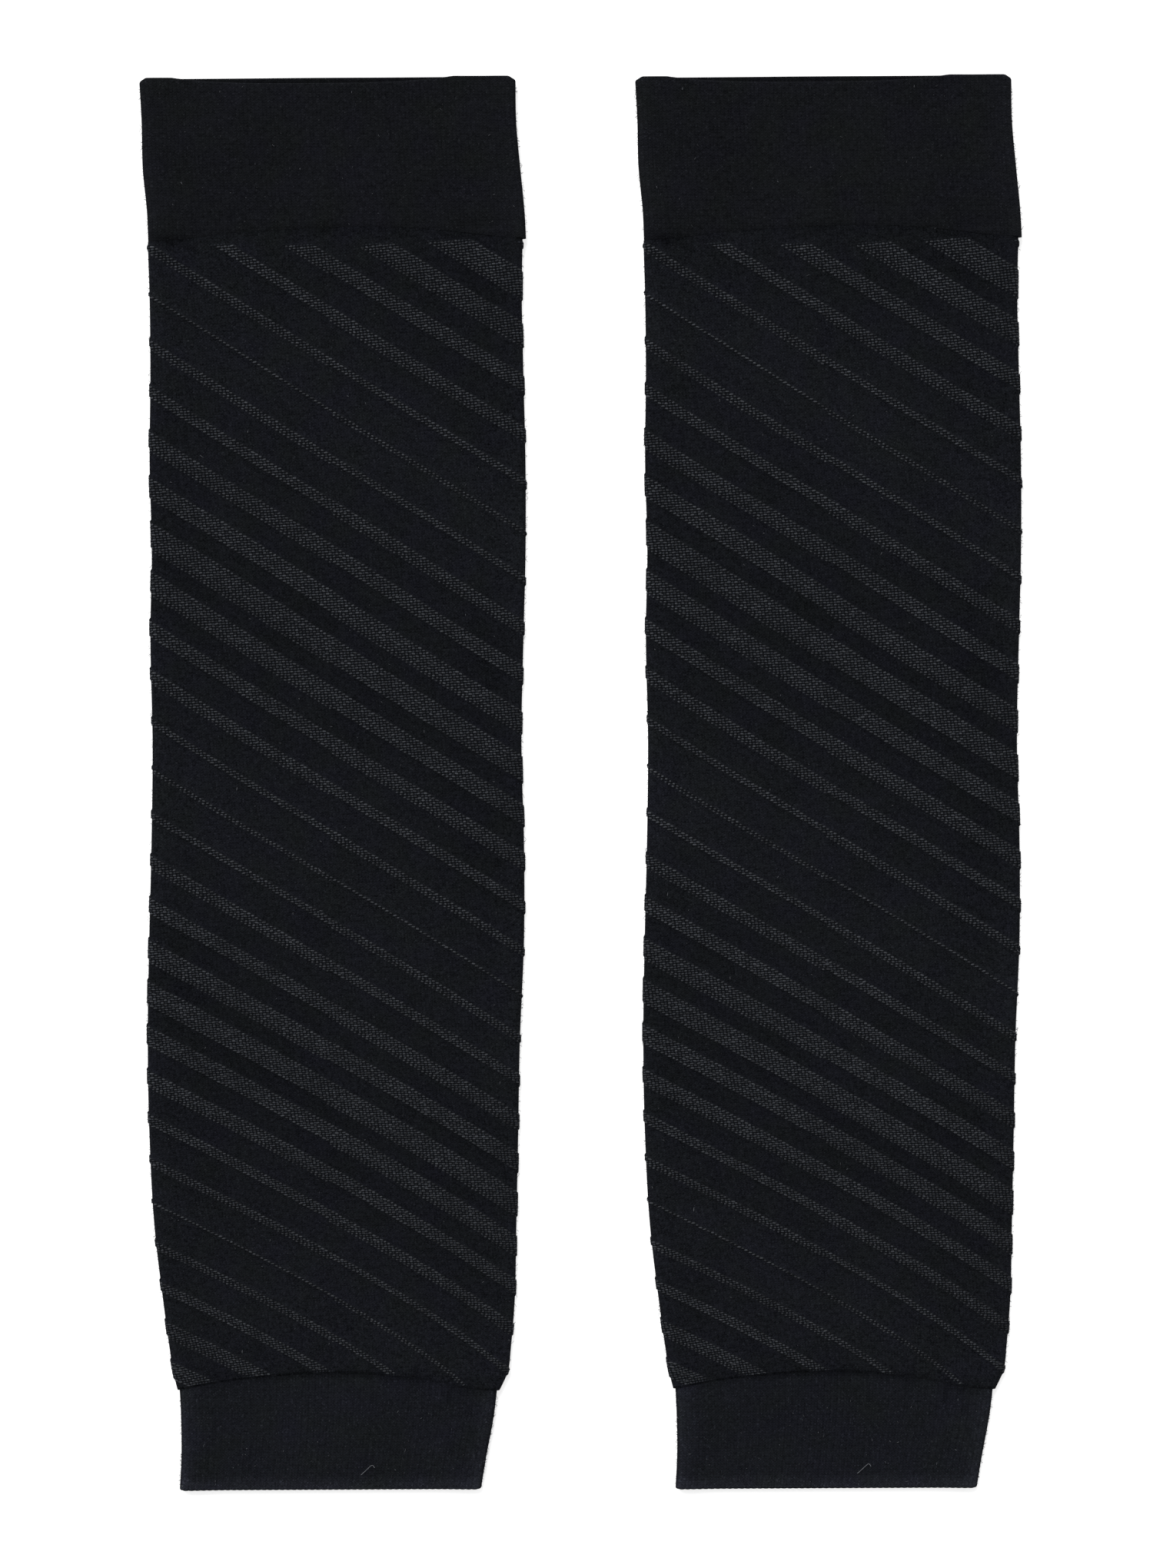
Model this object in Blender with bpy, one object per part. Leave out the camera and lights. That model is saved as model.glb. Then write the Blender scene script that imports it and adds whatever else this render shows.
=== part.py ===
"""A pair of knitted arm sleeves, laid flat side by side.

Lengths are in metres. +Z points up from the surface that the sleeves lie on, +Y points to the
upper-arm end and +X to the right, seen from above. The origin is on the surface, at the middle of
the pair. Each sleeve is a flattened tube, knitted in the round without a side seam, in three
pieces: a plain double cuff at the upper arm, a body with raised diagonal stripes, and a ribbed
cuff at the wrist. The two sleeves are alike, and their stripes wind the same way.
"""

import math
from collections import namedtuple

import bmesh
import bpy
import numpy as np
from mathutils import Vector
from mathutils.geometry import delaunay_2d_cdt

INSIDE_THE_LINES = 1  # the kind of triangles that delaunay_2d_cdt is asked for

# The pair
LENGTH = 0.3800
SPACING = 0.1333  # between the middle lines of the two sleeves
RIGHT_LIES_HIGHER = 0.0004

# Cloth
UPPER_CUFF_WALL = 0.0016  # a double layer, turned over at the top
BODY_WALL = 0.0010
LOWER_CUFF_WALL = 0.0014
PANEL_DIP = 0.0008  # the front panel lies this much lower than the fuller side folds
FOLD_EASE = 0.0060  # distance from a fold over which the front panel drops
SEAM_GAP = 0.0003
EDGE_SHOULDER = 0.0005  # an edge at a seam is rounded over this distance
EDGE_DEPTH = 0.25  # and by this share of the wall

# The way round a tube is measured in turns: 0 at the left edge, 0.25 at the middle of the front,
# 0.5 at the right edge and 0.75 at the middle of the back.
HALF_WIDTH = 0.0500
FOLD_RADIUS = 0.0016
QUARTER_FOLD = FOLD_RADIUS * math.pi / 2
PANEL = 2 * (HALF_WIDTH - FOLD_RADIUS)
GIRTH = 2 * PANEL + 4 * QUARTER_FOLD
FOLD_TURN = QUARTER_FOLD / GIRTH

# Outlines: each piece's left and right edges from the middle line, and its height at the folds
Section = namedtuple("Section", "down left right height")
UPPER_CUFF = (
    Section(0.0000, -0.0518, 0.0492, 0.0044),
    Section(0.0125, -0.0511, 0.0494, 0.0044),
    Section(0.0249, -0.0508, 0.0505, 0.0044),
    Section(0.0374, -0.0496, 0.0517, 0.0044),
    Section(0.0450, -0.0493, 0.0521, 0.0043),
)
BODY = (
    Section(0.0405, -0.0495, 0.0512, 0.0040),
    Section(0.0500, -0.0493, 0.0510, 0.0034),
    Section(0.0560, -0.0491, 0.0509, 0.0032),
    Section(0.0790, -0.0488, 0.0513, 0.0032),
    Section(0.1050, -0.0490, 0.0519, 0.0032),
    Section(0.1285, -0.0484, 0.0519, 0.0032),
    Section(0.1490, -0.0488, 0.0514, 0.0032),
    Section(0.1800, -0.0482, 0.0508, 0.0032),
    Section(0.2070, -0.0485, 0.0515, 0.0032),
    Section(0.2320, -0.0491, 0.0515, 0.0032),
    Section(0.2590, -0.0495, 0.0504, 0.0032),
    Section(0.2860, -0.0490, 0.0499, 0.0032),
    Section(0.3105, -0.0476, 0.0494, 0.0032),
    Section(0.3290, -0.0454, 0.0490, 0.0032),
    Section(0.3415, -0.0437, 0.0480, 0.0036),
    Section(0.3490, -0.0425, 0.0470, 0.0041),
    Section(0.3535, -0.0414, 0.0449, 0.0036),
)
LOWER_CUFF = (
    Section(0.3485, -0.0410, 0.0446, 0.0040),
    Section(0.3600, -0.0404, 0.0433, 0.0040),
    Section(0.3725, -0.0403, 0.0410, 0.0040),
    Section(0.3800, -0.0407, 0.0398, 0.0039),
)

# Top edge: the front rim sags below the back rim, and both round off at the folds
RIM_DROP = 0.0004
RIM_TILT = 0.0002  # the right end lies this much higher than the middle
FRONT_SAG = 0.0019
FRONT_SAG_MIDDLE = -0.08  # as shares of the half width
FRONT_SAG_HALF = 0.76
BACK_SAG = 0.0002
CORNER_DROP = 0.0006
CORNER_START = 0.97
RIM_ROUND = 0.0008

# Seams: uneven arches between the pieces. The place is across, from -1 at the left fold to 1 at the
# right one.
Seam = namedtuple("Seam", "place down")
UPPER_SEAM = (
    Seam(-1.00, 0.0447),
    Seam(-0.80, 0.0440),
    Seam(-0.60, 0.0426),
    Seam(-0.30, 0.0416),
    Seam(0.10, 0.0407),
    Seam(0.35, 0.0409),
    Seam(0.65, 0.0421),
    Seam(0.85, 0.0433),
    Seam(1.00, 0.0438),
)
LOWER_SEAM = (
    Seam(-1.00, 0.3533),
    Seam(-0.70, 0.3511),
    Seam(-0.40, 0.3497),
    Seam(0.00, 0.3488),
    Seam(0.30, 0.3496),
    Seam(0.60, 0.3511),
    Seam(0.80, 0.3528),
    Seam(1.00, 0.3534),
)
BOTTOM_ARCH = 0.0005

# Stripes: ten spirals, which each drop ten stripe pitches in one turn
Pitch = namedtuple("Pitch", "down stripes")
STRIPE_PITCH = (
    Pitch(-0.0190, -5),
    Pitch(0.0460, 0),
    Pitch(0.1237, 6),
    Pitch(0.1866, 11),
    Pitch(0.2468, 16),
    Pitch(0.3029, 21),
    Pitch(0.3590, 26),
)
STARTS = 10
THINNEST = 1  # the count of the thinnest stripe
THIN_STRIPE = 0.100  # widths and flanks as shares of the stripe pitch
WIDER_EACH = 0.100
FLANK = 0.040
STRIPE_RAISE = 0.0003
STRIPES_BEGIN = 0.0459
STRIPES_BEGIN_RISE = 0.0019  # they begin this much higher at the right fold
STRIPES_STOP = 0.0014  # above the lower seam
STRIPE_END = 0.0006  # their ends slope down over this distance

# The stripes lie a little higher than their pitch gives: how much at the left fold, in the middle
# and at the right fold
Lift = namedtuple("Lift", "down left middle right")
STRIPE_LIFT = (
    Lift(0.0420, 0.0006, 0.0011, 0.0027),
    Lift(0.0600, 0.0007, 0.0010, 0.0023),
    Lift(0.0850, 0.0009, 0.0005, 0.0015),
    Lift(0.1200, 0.0012, 0.0006, 0.0005),
    Lift(0.1600, 0.0007, 0.0003, 0.0002),
    Lift(0.2050, 0.0005, 0.0004, -0.0004),
    Lift(0.2500, 0.0008, 0.0011, -0.0008),
    Lift(0.3000, 0.0005, 0.0015, -0.0007),
    Lift(0.3500, 0.0002, 0.0023, -0.0007),
)

# Ribs: one column of stitches in two
RIBS_ROUND = 100
RIB_RAISE = 0.0003
SCALLOP = 0.0002

# Mesh
FRONT_STEPS = 10
FRONT_STEP_EASE = 0.6  # 0 spaces the front's columns evenly, 1 crowds them at the folds
FOLD_STEPS = 4
BACK_STEPS = 4
PLAIN_ROWS = 9  # down the body where it has no stripes
WELD = 0.000002
SHARP_ANGLE = math.radians(28)
LIFT_ROUNDS = 4  # how often a stripe's place is worked out again with the lift found there

# Colours, roughness
CUFF_COLOUR = (0.0080, 0.0088, 0.0112, 1.0)
BODY_COLOUR = (0.0120, 0.0130, 0.0160, 1.0)
RIB_COLOUR = (0.0105, 0.0115, 0.0145, 1.0)
KNIT_ROUGHNESS = 0.85

# A ring of points round a tube: how far down it lies, how deep in the wall and how far it is raised
Ring = namedtuple("Ring", "turns down depth raised")


def smooth(rows, field, at):
    """A table's value at each place along its first column.

    It is read from cubics through the rows, sloped as their neighbours lie.
    """
    x = np.array([row[0] for row in rows])
    y = np.array([getattr(row, field) for row in rows], float)
    slope = np.gradient(y, x)
    at = np.clip(at, x[0], x[-1])
    i = np.clip(np.searchsorted(x, at) - 1, 0, len(x) - 2)
    step = x[i + 1] - x[i]
    t = (at - x[i]) / step
    ease = 3 * t**2 - 2 * t**3
    bend = t * (1 - t) ** 2 * slope[i] - t**2 * (1 - t) * slope[i + 1]
    return y[i] + (y[i + 1] - y[i]) * ease + step * bend


def ease_in(value):
    """Runs smoothly from 0 to 1 as the value does."""
    t = np.clip(value, 0, 1)
    return t * t * (3 - 2 * t)


def way_round(turn):
    """Where a turn lies on the flattened tube.

    The first value runs from -1 at the left fold's centre to 1 at the right one's. The second is the
    way that the cloth faces, in radians from +X towards +Z.
    """
    along = np.mod(turn, 1) * GIRTH
    ends = np.cumsum((0, QUARTER_FOLD, PANEL, 2 * QUARTER_FOLD, PANEL, QUARTER_FOLD))
    across = np.interp(along, ends, (-1, -1, 1, 1, -1, -1))
    facing = np.interp(along, ends, np.radians((180, 90, 90, -90, -90, -180)))
    return across, facing


def place_across(turn):
    """A turn's distance from the middle line as a share of the half width, -1 to 1."""
    across, facing = way_round(turn)
    return (across * PANEL / 2 + FOLD_RADIUS * np.cos(facing)) / HALF_WIDTH


def top_edge(turn):
    """Distance down of the sleeve's top edge."""
    x = place_across(turn)
    front = (1 + np.sin(way_round(turn)[1])) / 2
    arch = np.clip(1 - abs((x - FRONT_SAG_MIDDLE) / FRONT_SAG_HALF) ** 3, 0, 1)
    sag = arch * (front * FRONT_SAG + (1 - front) * BACK_SAG)
    corner = ease_in((abs(x) - CORNER_START) / (1 - CORNER_START))
    return RIM_DROP - RIM_TILT * x + sag + CORNER_DROP * corner


def upper_seam(turn):
    """Distance down of the line where the upper cuff meets the body."""
    return smooth(UPPER_SEAM, "down", place_across(turn))


def lower_seam(turn):
    """Distance down of the line where the body meets the lower cuff."""
    return smooth(LOWER_SEAM, "down", place_across(turn))


def rib_wave(turn):
    """1 on a rib and 0 in the furrow between two, on the front only."""
    front = (turn >= 0) & (turn <= 0.5)
    return front * (1 + np.cos(2 * np.pi * RIBS_ROUND * turn)) / 2


def bottom_edge(turn):
    """Distance down of the lower cuff's edge, which is scalloped where the ribs end."""
    return LENGTH - BOTTOM_ARCH * place_across(turn) ** 2 - SCALLOP * (1 - rib_wave(turn))


def between(top, bottom, share):
    """A line that lies at a share of the way from one edge line to another."""
    return lambda turn: top(turn) + share * (bottom(turn) - top(turn))


def moved(line, distance):
    """A line moved down by a distance."""
    return lambda turn: line(turn) + distance


def tube_points(sections, wall, turn, down, depth, raised):
    """Points of a flattened tube, whose side folds are round and whose two panels lie flat.

    depth is 0 on the outer face of the wall and 1 on the inner one. raised moves a point outwards.
    """
    across, facing = way_round(turn)
    left = smooth(sections, "left", down)
    right = smooth(sections, "right", down)
    radius = smooth(sections, "height", down) / 2
    reach = (right - left) / 2 - radius
    from_fold = (1 - abs(across)) * reach
    dip = PANEL_DIP * (1 - np.exp(-((from_fold / FOLD_EASE) ** 2)))
    out = radius - depth * wall + raised
    x = (left + right) / 2 + across * reach + out * np.cos(facing)
    z = radius + out * np.sin(facing) - dip * (np.sin(facing) > 0)
    return np.stack(np.broadcast_arrays(x, LENGTH / 2 - down, z), axis=-1)


def half_backs():
    """Turns from the middle of the back to the lower side of each fold."""
    left = np.linspace(-0.25, -FOLD_TURN, BACK_STEPS // 2 + 1)
    return left, 0.5 - left[::-1]


def plain_turns():
    """Turns round a plain tube: crowded at the folds, sparse under the back."""
    back_left, back_right = half_backs()
    left_fold = np.linspace(-FOLD_TURN, FOLD_TURN, FOLD_STEPS + 1)
    share = np.arange(FRONT_STEPS + 1) / FRONT_STEPS
    share = share - FRONT_STEP_EASE * np.sin(2 * np.pi * share) / (2 * np.pi)
    front = FOLD_TURN + share * (0.5 - 2 * FOLD_TURN)
    parts = (back_left[:-1], left_fold[:-1], front[:-1], left_fold[:-1] + 0.5, back_right)
    return np.concatenate(parts)


def rib_turns():
    """Turns round the ribbed cuff: on each rib and in each furrow of the front."""
    back_left, back_right = half_backs()
    ribs = np.arange(RIBS_ROUND + 1) / (2 * RIBS_ROUND)
    half_fold = FOLD_TURN / 2
    return np.concatenate((back_left, [-half_fold], ribs, [0.5 + half_fold], back_right))


def fill_strip(faces, near, far):
    """Fills the strip between two lists of (key, vertex) with triangles that keep in step with the keys."""
    i = j = 0
    while i < len(near) - 1 or j < len(far) - 1:
        far_done = j == len(far) - 1
        if i < len(near) - 1 and (far_done or near[i + 1][0] <= far[j + 1][0]):
            faces.append((near[i][1], near[i + 1][1], far[j][1]))
            i += 1
        else:
            faces.append((near[i][1], far[j + 1][1], far[j][1]))
            j += 1


def ringed_wall(sections, wall, rings):
    """Points and faces through rings that run down a tube's outside and up its inside."""
    points, loops, faces = [], [], []
    for ring in rings:
        loops.append(list(zip(ring.turns, range(len(points), len(points) + len(ring.turns)))))
        down = ring.down(ring.turns)
        raised = ring.raised(ring.turns) if ring.raised else 0.0
        points.extend(tube_points(sections, wall, ring.turns, down, ring.depth, raised))
    for upper, lower in zip(loops, loops[1:]):
        fill_strip(faces, lower, upper)
    return points, faces


def upper_cuff():
    """The double cuff: rounded over at the top edge, with a small shoulder at the seam."""
    seam = moved(upper_seam, -SEAM_GAP / 2)
    lines = (
        (top_edge, 0.5),
        (moved(top_edge, RIM_ROUND / 4), 0.15),
        (moved(top_edge, RIM_ROUND), 0.0),
        (between(top_edge, seam, 0.30), 0.0),
        (between(top_edge, seam, 0.65), 0.0),
        (moved(seam, -EDGE_SHOULDER), 0.0),
        (seam, EDGE_DEPTH),
        (seam, 1.0),
        (between(top_edge, seam, 0.5), 1.0),
        (moved(top_edge, RIM_ROUND), 1.0),
        (moved(top_edge, RIM_ROUND / 4), 0.85),
        (top_edge, 0.5),
    )
    rings = [Ring(plain_turns(), line, depth, None) for line, depth in lines]
    return ringed_wall(UPPER_CUFF, UPPER_CUFF_WALL, rings)


def lower_cuff():
    """The ribbed cuff: ribs raised on the outside of a plain wall."""
    seam = moved(lower_seam, SEAM_GAP / 2)
    ribs, plain = rib_turns(), plain_turns()

    def raised(turn):
        return RIB_RAISE * rib_wave(turn)

    rings = (
        Ring(ribs, seam, EDGE_DEPTH, raised),
        Ring(ribs, moved(seam, EDGE_SHOULDER), 0.0, raised),
        Ring(ribs, between(seam, bottom_edge, 0.5), 0.0, raised),
        Ring(ribs, moved(bottom_edge, -EDGE_SHOULDER), 0.0, raised),
        Ring(ribs, bottom_edge, EDGE_DEPTH, raised),
        Ring(plain, bottom_edge, 1.0, None),
        Ring(plain, between(seam, bottom_edge, 0.5), 1.0, None),
        Ring(plain, seam, 1.0, None),
        Ring(ribs, seam, EDGE_DEPTH, raised),
    )
    return ringed_wall(LOWER_CUFF, LOWER_CUFF_WALL, rings)


def stripe_count(down):
    """How many stripe pitches lie above a distance down, at the left edge."""
    return smooth(STRIPE_PITCH, "stripes", down)


def stripe_lift(turn, down):
    """How much higher the stripes lie than their pitch gives: a parabola across through the table."""
    x = place_across(turn)
    left, middle, right = (smooth(STRIPE_LIFT, field, down) for field in ("left", "middle", "right"))
    return left * x * (x - 1) / 2 + middle * (1 - x**2) + right * x * (x + 1) / 2


def stripe_label(turn, down):
    """The count of the stripe that a place lies on: whole numbers run along the stripes' middles."""
    return stripe_count(down + stripe_lift(turn, down)) - STARTS * turn


def stripe_half_width(number):
    """Half a stripe's width, as a share of the pitch: it swells over five stripes and thins again."""
    step = np.mod(number - THINNEST, STARTS)
    return (THIN_STRIPE + WIDER_EACH * np.minimum(step, STARTS - step)) / 2


def stripe_height(turn, down):
    """How far the stripes raise the cloth: level on top, with a sloping flank along each side."""
    label = stripe_label(turn, down)
    nearest = np.round(label)
    inside = stripe_half_width(nearest) - abs(label - nearest)
    front = (turn > -FOLD_TURN / 4) & (turn < 0.5 + FOLD_TURN / 4)
    begin, stop = stripes_begin(turn), stripes_stop(turn)
    past = np.maximum(begin - down, down - stop) / stripe_end(turn)
    return STRIPE_RAISE * front * np.clip(inside / FLANK, 0, 1) * np.clip(1 - past, 0, 1)


def body_top(turn):
    """Distance down of the body's upper edge."""
    return upper_seam(turn) + SEAM_GAP / 2


def body_bottom(turn):
    """Distance down of the body's lower edge."""
    return lower_seam(turn) - SEAM_GAP / 2


def stripes_begin(turn):
    """Distance down of the line where the stripes begin, which rises to the right."""
    rise = STRIPES_BEGIN_RISE * ease_in(place_across(turn))
    return np.maximum(STRIPES_BEGIN - rise, body_top(turn) + 2 * EDGE_SHOULDER)


def stripes_stop(turn):
    """Distance down of the line where the stripes stop."""
    return lower_seam(turn) - STRIPES_STOP


def stripe_end(turn):
    """The length of a stripe's sloping end, which stays clear of the edge's shoulder."""
    room = stripes_begin(turn) - body_top(turn) - EDGE_SHOULDER
    return np.minimum(STRIPE_END, room / 2)


def line_along_stripe(label, turns):
    """A line that keeps its place in the stripes, cut off where they begin and stop."""
    even = np.linspace(STRIPE_PITCH[0].down, STRIPE_PITCH[-1].down, 600)
    even = np.interp(label + STARTS * turns, stripe_count(even), even, left=np.nan, right=np.nan)
    downs = even
    for _ in range(LIFT_ROUNDS):
        downs = even - stripe_lift(turns, downs)
    above = downs - stripes_begin(turns)
    below = stripes_stop(turns) - downs
    line = []
    for i in range(len(turns)):
        if i:
            for edge in (above, below):
                if edge[i - 1] * edge[i] < 0:
                    share = edge[i - 1] / (edge[i - 1] - edge[i])
                    mid_turn = turns[i - 1] + share * (turns[i] - turns[i - 1])
                    line.append((mid_turn, downs[i - 1] + share * (downs[i] - downs[i - 1])))
        if above[i] >= 0 and below[i] >= 0:
            line.append((turns[i], downs[i]))
    return line


def body_lines():
    """The lines that shape the body's outside, each a list of (turn, down) on the unrolled cloth."""
    turns = plain_turns()
    front = turns[(turns > -FOLD_TURN / 4) & (turns < 0.5 + FOLD_TURN / 4)]
    upper_shoulder = moved(body_top, EDGE_SHOULDER)
    lower_shoulder = moved(body_bottom, -EDGE_SHOULDER)
    lines = [[(t, body_top(t)), (t, body_bottom(t))] for t in turns]
    for edge in (body_top, upper_shoulder, lower_shoulder, body_bottom):
        lines.append([(t, edge(t)) for t in turns])
    for edge, slope in ((stripes_begin, -1), (stripes_begin, 0), (stripes_stop, 0), (stripes_stop, 1)):
        lines.append([(t, edge(t) + slope * stripe_end(t)) for t in front])
    for number in range(STRIPE_PITCH[0].stripes - STARTS // 2, STRIPE_PITCH[-1].stripes + 1):
        half = stripe_half_width(number)
        for offset in (-half, FLANK - half, half - FLANK, half):
            lines.append(line_along_stripe(number + offset, front))
    for share in np.arange(1, PLAIN_ROWS) / PLAIN_ROWS:
        row = between(body_top, body_bottom, share)
        lines += [[(t, row(t))] for t in turns if t not in front]
    return lines


def body():
    """The striped body: the unrolled cloth is cut along its lines into triangles, then wrapped round."""
    spots, edges = [], []
    for line in body_lines():
        edges += [(len(spots) + i, len(spots) + i + 1) for i in range(len(line) - 1)]
        spots += [Vector((turn * GIRTH, -down)) for turn, down in line]
    made = delaunay_2d_cdt(spots, edges, [], INSIDE_THE_LINES, WELD)
    flat = np.array([tuple(spot) for spot in made[0]])
    turn, down = flat[:, 0] / GIRTH, -flat[:, 1]
    depth = EDGE_DEPTH * ((down < body_top(turn) + WELD) | (down > body_bottom(turn) - WELD))
    points = list(tube_points(BODY, BODY_WALL, turn, down, depth, stripe_height(turn, down)))
    faces = [tuple(face) for face in made[2]]
    shares = np.arange(PLAIN_ROWS + 1) / PLAIN_ROWS
    inside = [between(body_bottom, body_top, share) for share in shares]
    rings = [Ring(plain_turns(), body_bottom, EDGE_DEPTH, None)]
    rings += [Ring(plain_turns(), line, 1.0, None) for line in inside]
    rings += [Ring(plain_turns(), body_top, EDGE_DEPTH, None)]
    more_points, more_faces = ringed_wall(BODY, BODY_WALL, rings)
    faces += [tuple(len(points) + vertex for vertex in face) for face in more_faces]
    return points + more_points, faces


def knit_material(name, colour):
    """A dull, dark knit."""
    material = bpy.data.materials.new(name)
    material.use_nodes = True
    shader = material.node_tree.nodes["Principled BSDF"]
    shader.inputs["Base Color"].default_value = colour
    shader.inputs["Roughness"].default_value = KNIT_ROUGHNESS
    shader.inputs["Metallic"].default_value = 0.0
    material.diffuse_color = colour
    return material


def make_mesh(name, points, faces, material):
    """A closed, smooth-shaded mesh, joined where its rings and edges meet."""
    mesh = bpy.data.meshes.new(name)
    mesh.from_pydata([tuple(p) for p in points], [], faces)
    joined = bmesh.new()
    joined.from_mesh(mesh)
    bmesh.ops.remove_doubles(joined, verts=joined.verts, dist=WELD)
    joined.to_mesh(mesh)
    joined.free()
    mesh.materials.append(material)
    mesh.shade_smooth()
    mesh.set_sharp_from_angle(angle=SHARP_ANGLE)
    return mesh


def sleeve_meshes():
    """The three pieces of one sleeve, by name, with the middle of its outline at the origin."""
    made = {
        "upper_cuff": (upper_cuff(), knit_material("upper_cuff_knit", CUFF_COLOUR)),
        "sleeve_body": (body(), knit_material("body_knit", BODY_COLOUR)),
        "lower_cuff": (lower_cuff(), knit_material("lower_cuff_rib", RIB_COLOUR)),
    }
    everything = np.concatenate([np.array(points) for (points, _), _ in made.values()])
    middle = (everything.min(axis=0) + everything.max(axis=0)) / 2
    middle[2] = 0.0
    meshes = {}
    for name, ((points, faces), material) in made.items():
        meshes[name] = make_mesh(name, np.array(points) - middle, faces, material)
    return meshes


def place_sleeve(side, x, y, meshes):
    """Hangs the three pieces of a sleeve on an empty at its place in the pair."""
    holder = bpy.data.objects.new(side + "_sleeve", None)
    holder.location = (x, y, 0)
    bpy.context.collection.objects.link(holder)
    for name, mesh in meshes.items():
        piece = bpy.data.objects.new(side + "_" + name, mesh)
        piece.parent = holder
        bpy.context.collection.objects.link(piece)


def main():
    for old in list(bpy.data.objects):
        bpy.data.objects.remove(old, do_unlink=True)
    meshes = sleeve_meshes()
    place_sleeve("left", -SPACING / 2, -RIGHT_LIES_HIGHER / 2, meshes)
    place_sleeve("right", SPACING / 2, RIGHT_LIES_HIGHER / 2, meshes)
    bpy.context.view_layer.update()


main()
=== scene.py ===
"""A pair of black knitted arm sleeves, laid flat side by side on a white table.

Each sleeve is a flattened tube in three knitted pieces: a plain double cuff at the upper arm, a
body with raised diagonal stripes of float mesh, and a ribbed cuff at the wrist. Each piece is a
closed wall of cloth, worked out as a function of the way round the tube and the distance down it.

Lengths are in metres. +Z points up from the table, +Y to the upper arm and +X to the right.
"""

import math
from collections import namedtuple
from functools import partial

import bmesh
import bpy
import numpy as np
from bpy.props import FloatProperty, FloatVectorProperty, IntProperty, PointerProperty
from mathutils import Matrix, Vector


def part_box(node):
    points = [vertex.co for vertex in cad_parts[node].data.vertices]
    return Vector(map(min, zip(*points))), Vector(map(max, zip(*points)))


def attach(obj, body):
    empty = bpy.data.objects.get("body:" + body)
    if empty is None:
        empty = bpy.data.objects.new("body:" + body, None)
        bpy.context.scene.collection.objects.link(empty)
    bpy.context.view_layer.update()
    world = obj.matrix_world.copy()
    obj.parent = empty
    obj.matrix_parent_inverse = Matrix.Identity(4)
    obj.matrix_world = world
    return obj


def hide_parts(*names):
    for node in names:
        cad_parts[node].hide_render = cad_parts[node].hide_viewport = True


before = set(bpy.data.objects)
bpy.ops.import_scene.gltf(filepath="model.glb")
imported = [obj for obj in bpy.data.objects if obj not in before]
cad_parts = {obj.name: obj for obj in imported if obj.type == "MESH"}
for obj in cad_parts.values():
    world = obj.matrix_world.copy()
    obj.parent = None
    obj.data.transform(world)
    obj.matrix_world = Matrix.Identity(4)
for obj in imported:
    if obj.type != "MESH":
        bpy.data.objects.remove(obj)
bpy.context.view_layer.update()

bl_info = {
    "name": "Arm sleeves",
    "version": (1, 0, 0),
    "blender": (4, 5, 0),
    "location": "3D View > Sidebar > Arm sleeves",
    "description": "Makes a pair of knitted arm sleeves, laid flat",
    "category": "Object",
}

SIDES = ("left", "right")


def mm(*lengths):
    """Lengths given in millimetres."""
    return np.array(lengths) / 1000


# Cloth
LENGTH = 0.3800
PANEL_DIP = 0.0008  # how far the front sinks between the folds, and over what distance from them
FOLD_EASE = 0.0060
FOLD_FUZZ = 0.00014  # the knit's loops stand out by this much at the side folds
SEAM_GAP = 0.0003
SHOULDER = 0.0006
UPPER_SEAM_DEPTH = 0.02  # how deep the edges at a seam are rounded, as a share of the wall
LOWER_SEAM_DEPTH = 0.015
BOTTOM_DEPTH = 0.5  # the same at the lower cuff's edge

# The way round a tube is measured in turns: 0 at the left edge, 0.25 at the middle of the front,
# 0.5 at the right edge and 0.75 at the middle of the back.
HALF_WIDTH = 0.0500
FOLD_RADIUS = 0.0016
QUARTER_FOLD = FOLD_RADIUS * math.pi / 2
PANEL = 2 * (HALF_WIDTH - FOLD_RADIUS)
GIRTH = 2 * PANEL + 4 * QUARTER_FOLD
FOLD_TURN = QUARTER_FOLD / GIRTH

# Each tube's outline has columns for the distance down, for the left and the right edge from the
# middle line, and for the height at the folds.
Tube = namedtuple("Tube", "wall outline")
UPPER_CUFF = Tube(0.0016, (
    mm(0, 12.5, 24.9, 37.4, 45),
    mm(-51.8, -51.1, -50.8, -49.6, -49.3),
    mm(49.2, 49.4, 50.5, 51.7, 52.1),
    mm(4.4, 4.4, 4.4, 4.4, 4.3),
))
BODY = Tube(0.0010, (
    mm(40.5, 45, 50, 56, 79, 105, 128.5, 149, 180, 207, 232, 259, 286, 310.5, 329, 341.5, 349, 353.5),
    mm(-49.5, -49.4, -49.3, -49.1, -48.8, -49, -48.4, -48.8, -48.2, -48.5, -49.1, -49.5, -49, -47.6,
       -45.4, -43.7, -42.5, -41.4),
    mm(51.2, 51.1, 51, 50.9, 51.3, 51.9, 51.9, 51.4, 50.8, 51.5, 51.5, 50.4, 49.9, 49.4, 49, 48, 47,
       44.9),
    mm(4.3, 4.2, 3.8, 3.4, 3.2, 3.2, 3.2, 3.2, 3.2, 3.2, 3.2, 3.2, 3.2, 3.2, 3.2, 3.6, 4, 3.9),
))
LOWER_CUFF = Tube(0.0014, (
    mm(348.5, 360, 372.5, 380),
    mm(-41, -40.4, -40.3, -40.7),
    mm(44.6, 43.3, 41, 39.8),
    mm(4, 4, 4, 3.9),
))

# Top edge: the front rim sags below the back rim, and both round off at the folds
RIM_DROP = 0.0001
RIM_TILT = 0.0003
RIM_ARCH = 0.0004
FRONT_SAG = 0.0019
FRONT_SAG_MIDDLE = -0.08
FRONT_SAG_HALF = 0.76
BACK_SAG = 0.0002
CORNER_DROP = 0.0006
CORNER_START = 0.97
RIM_ROUND = 0.0008

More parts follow.
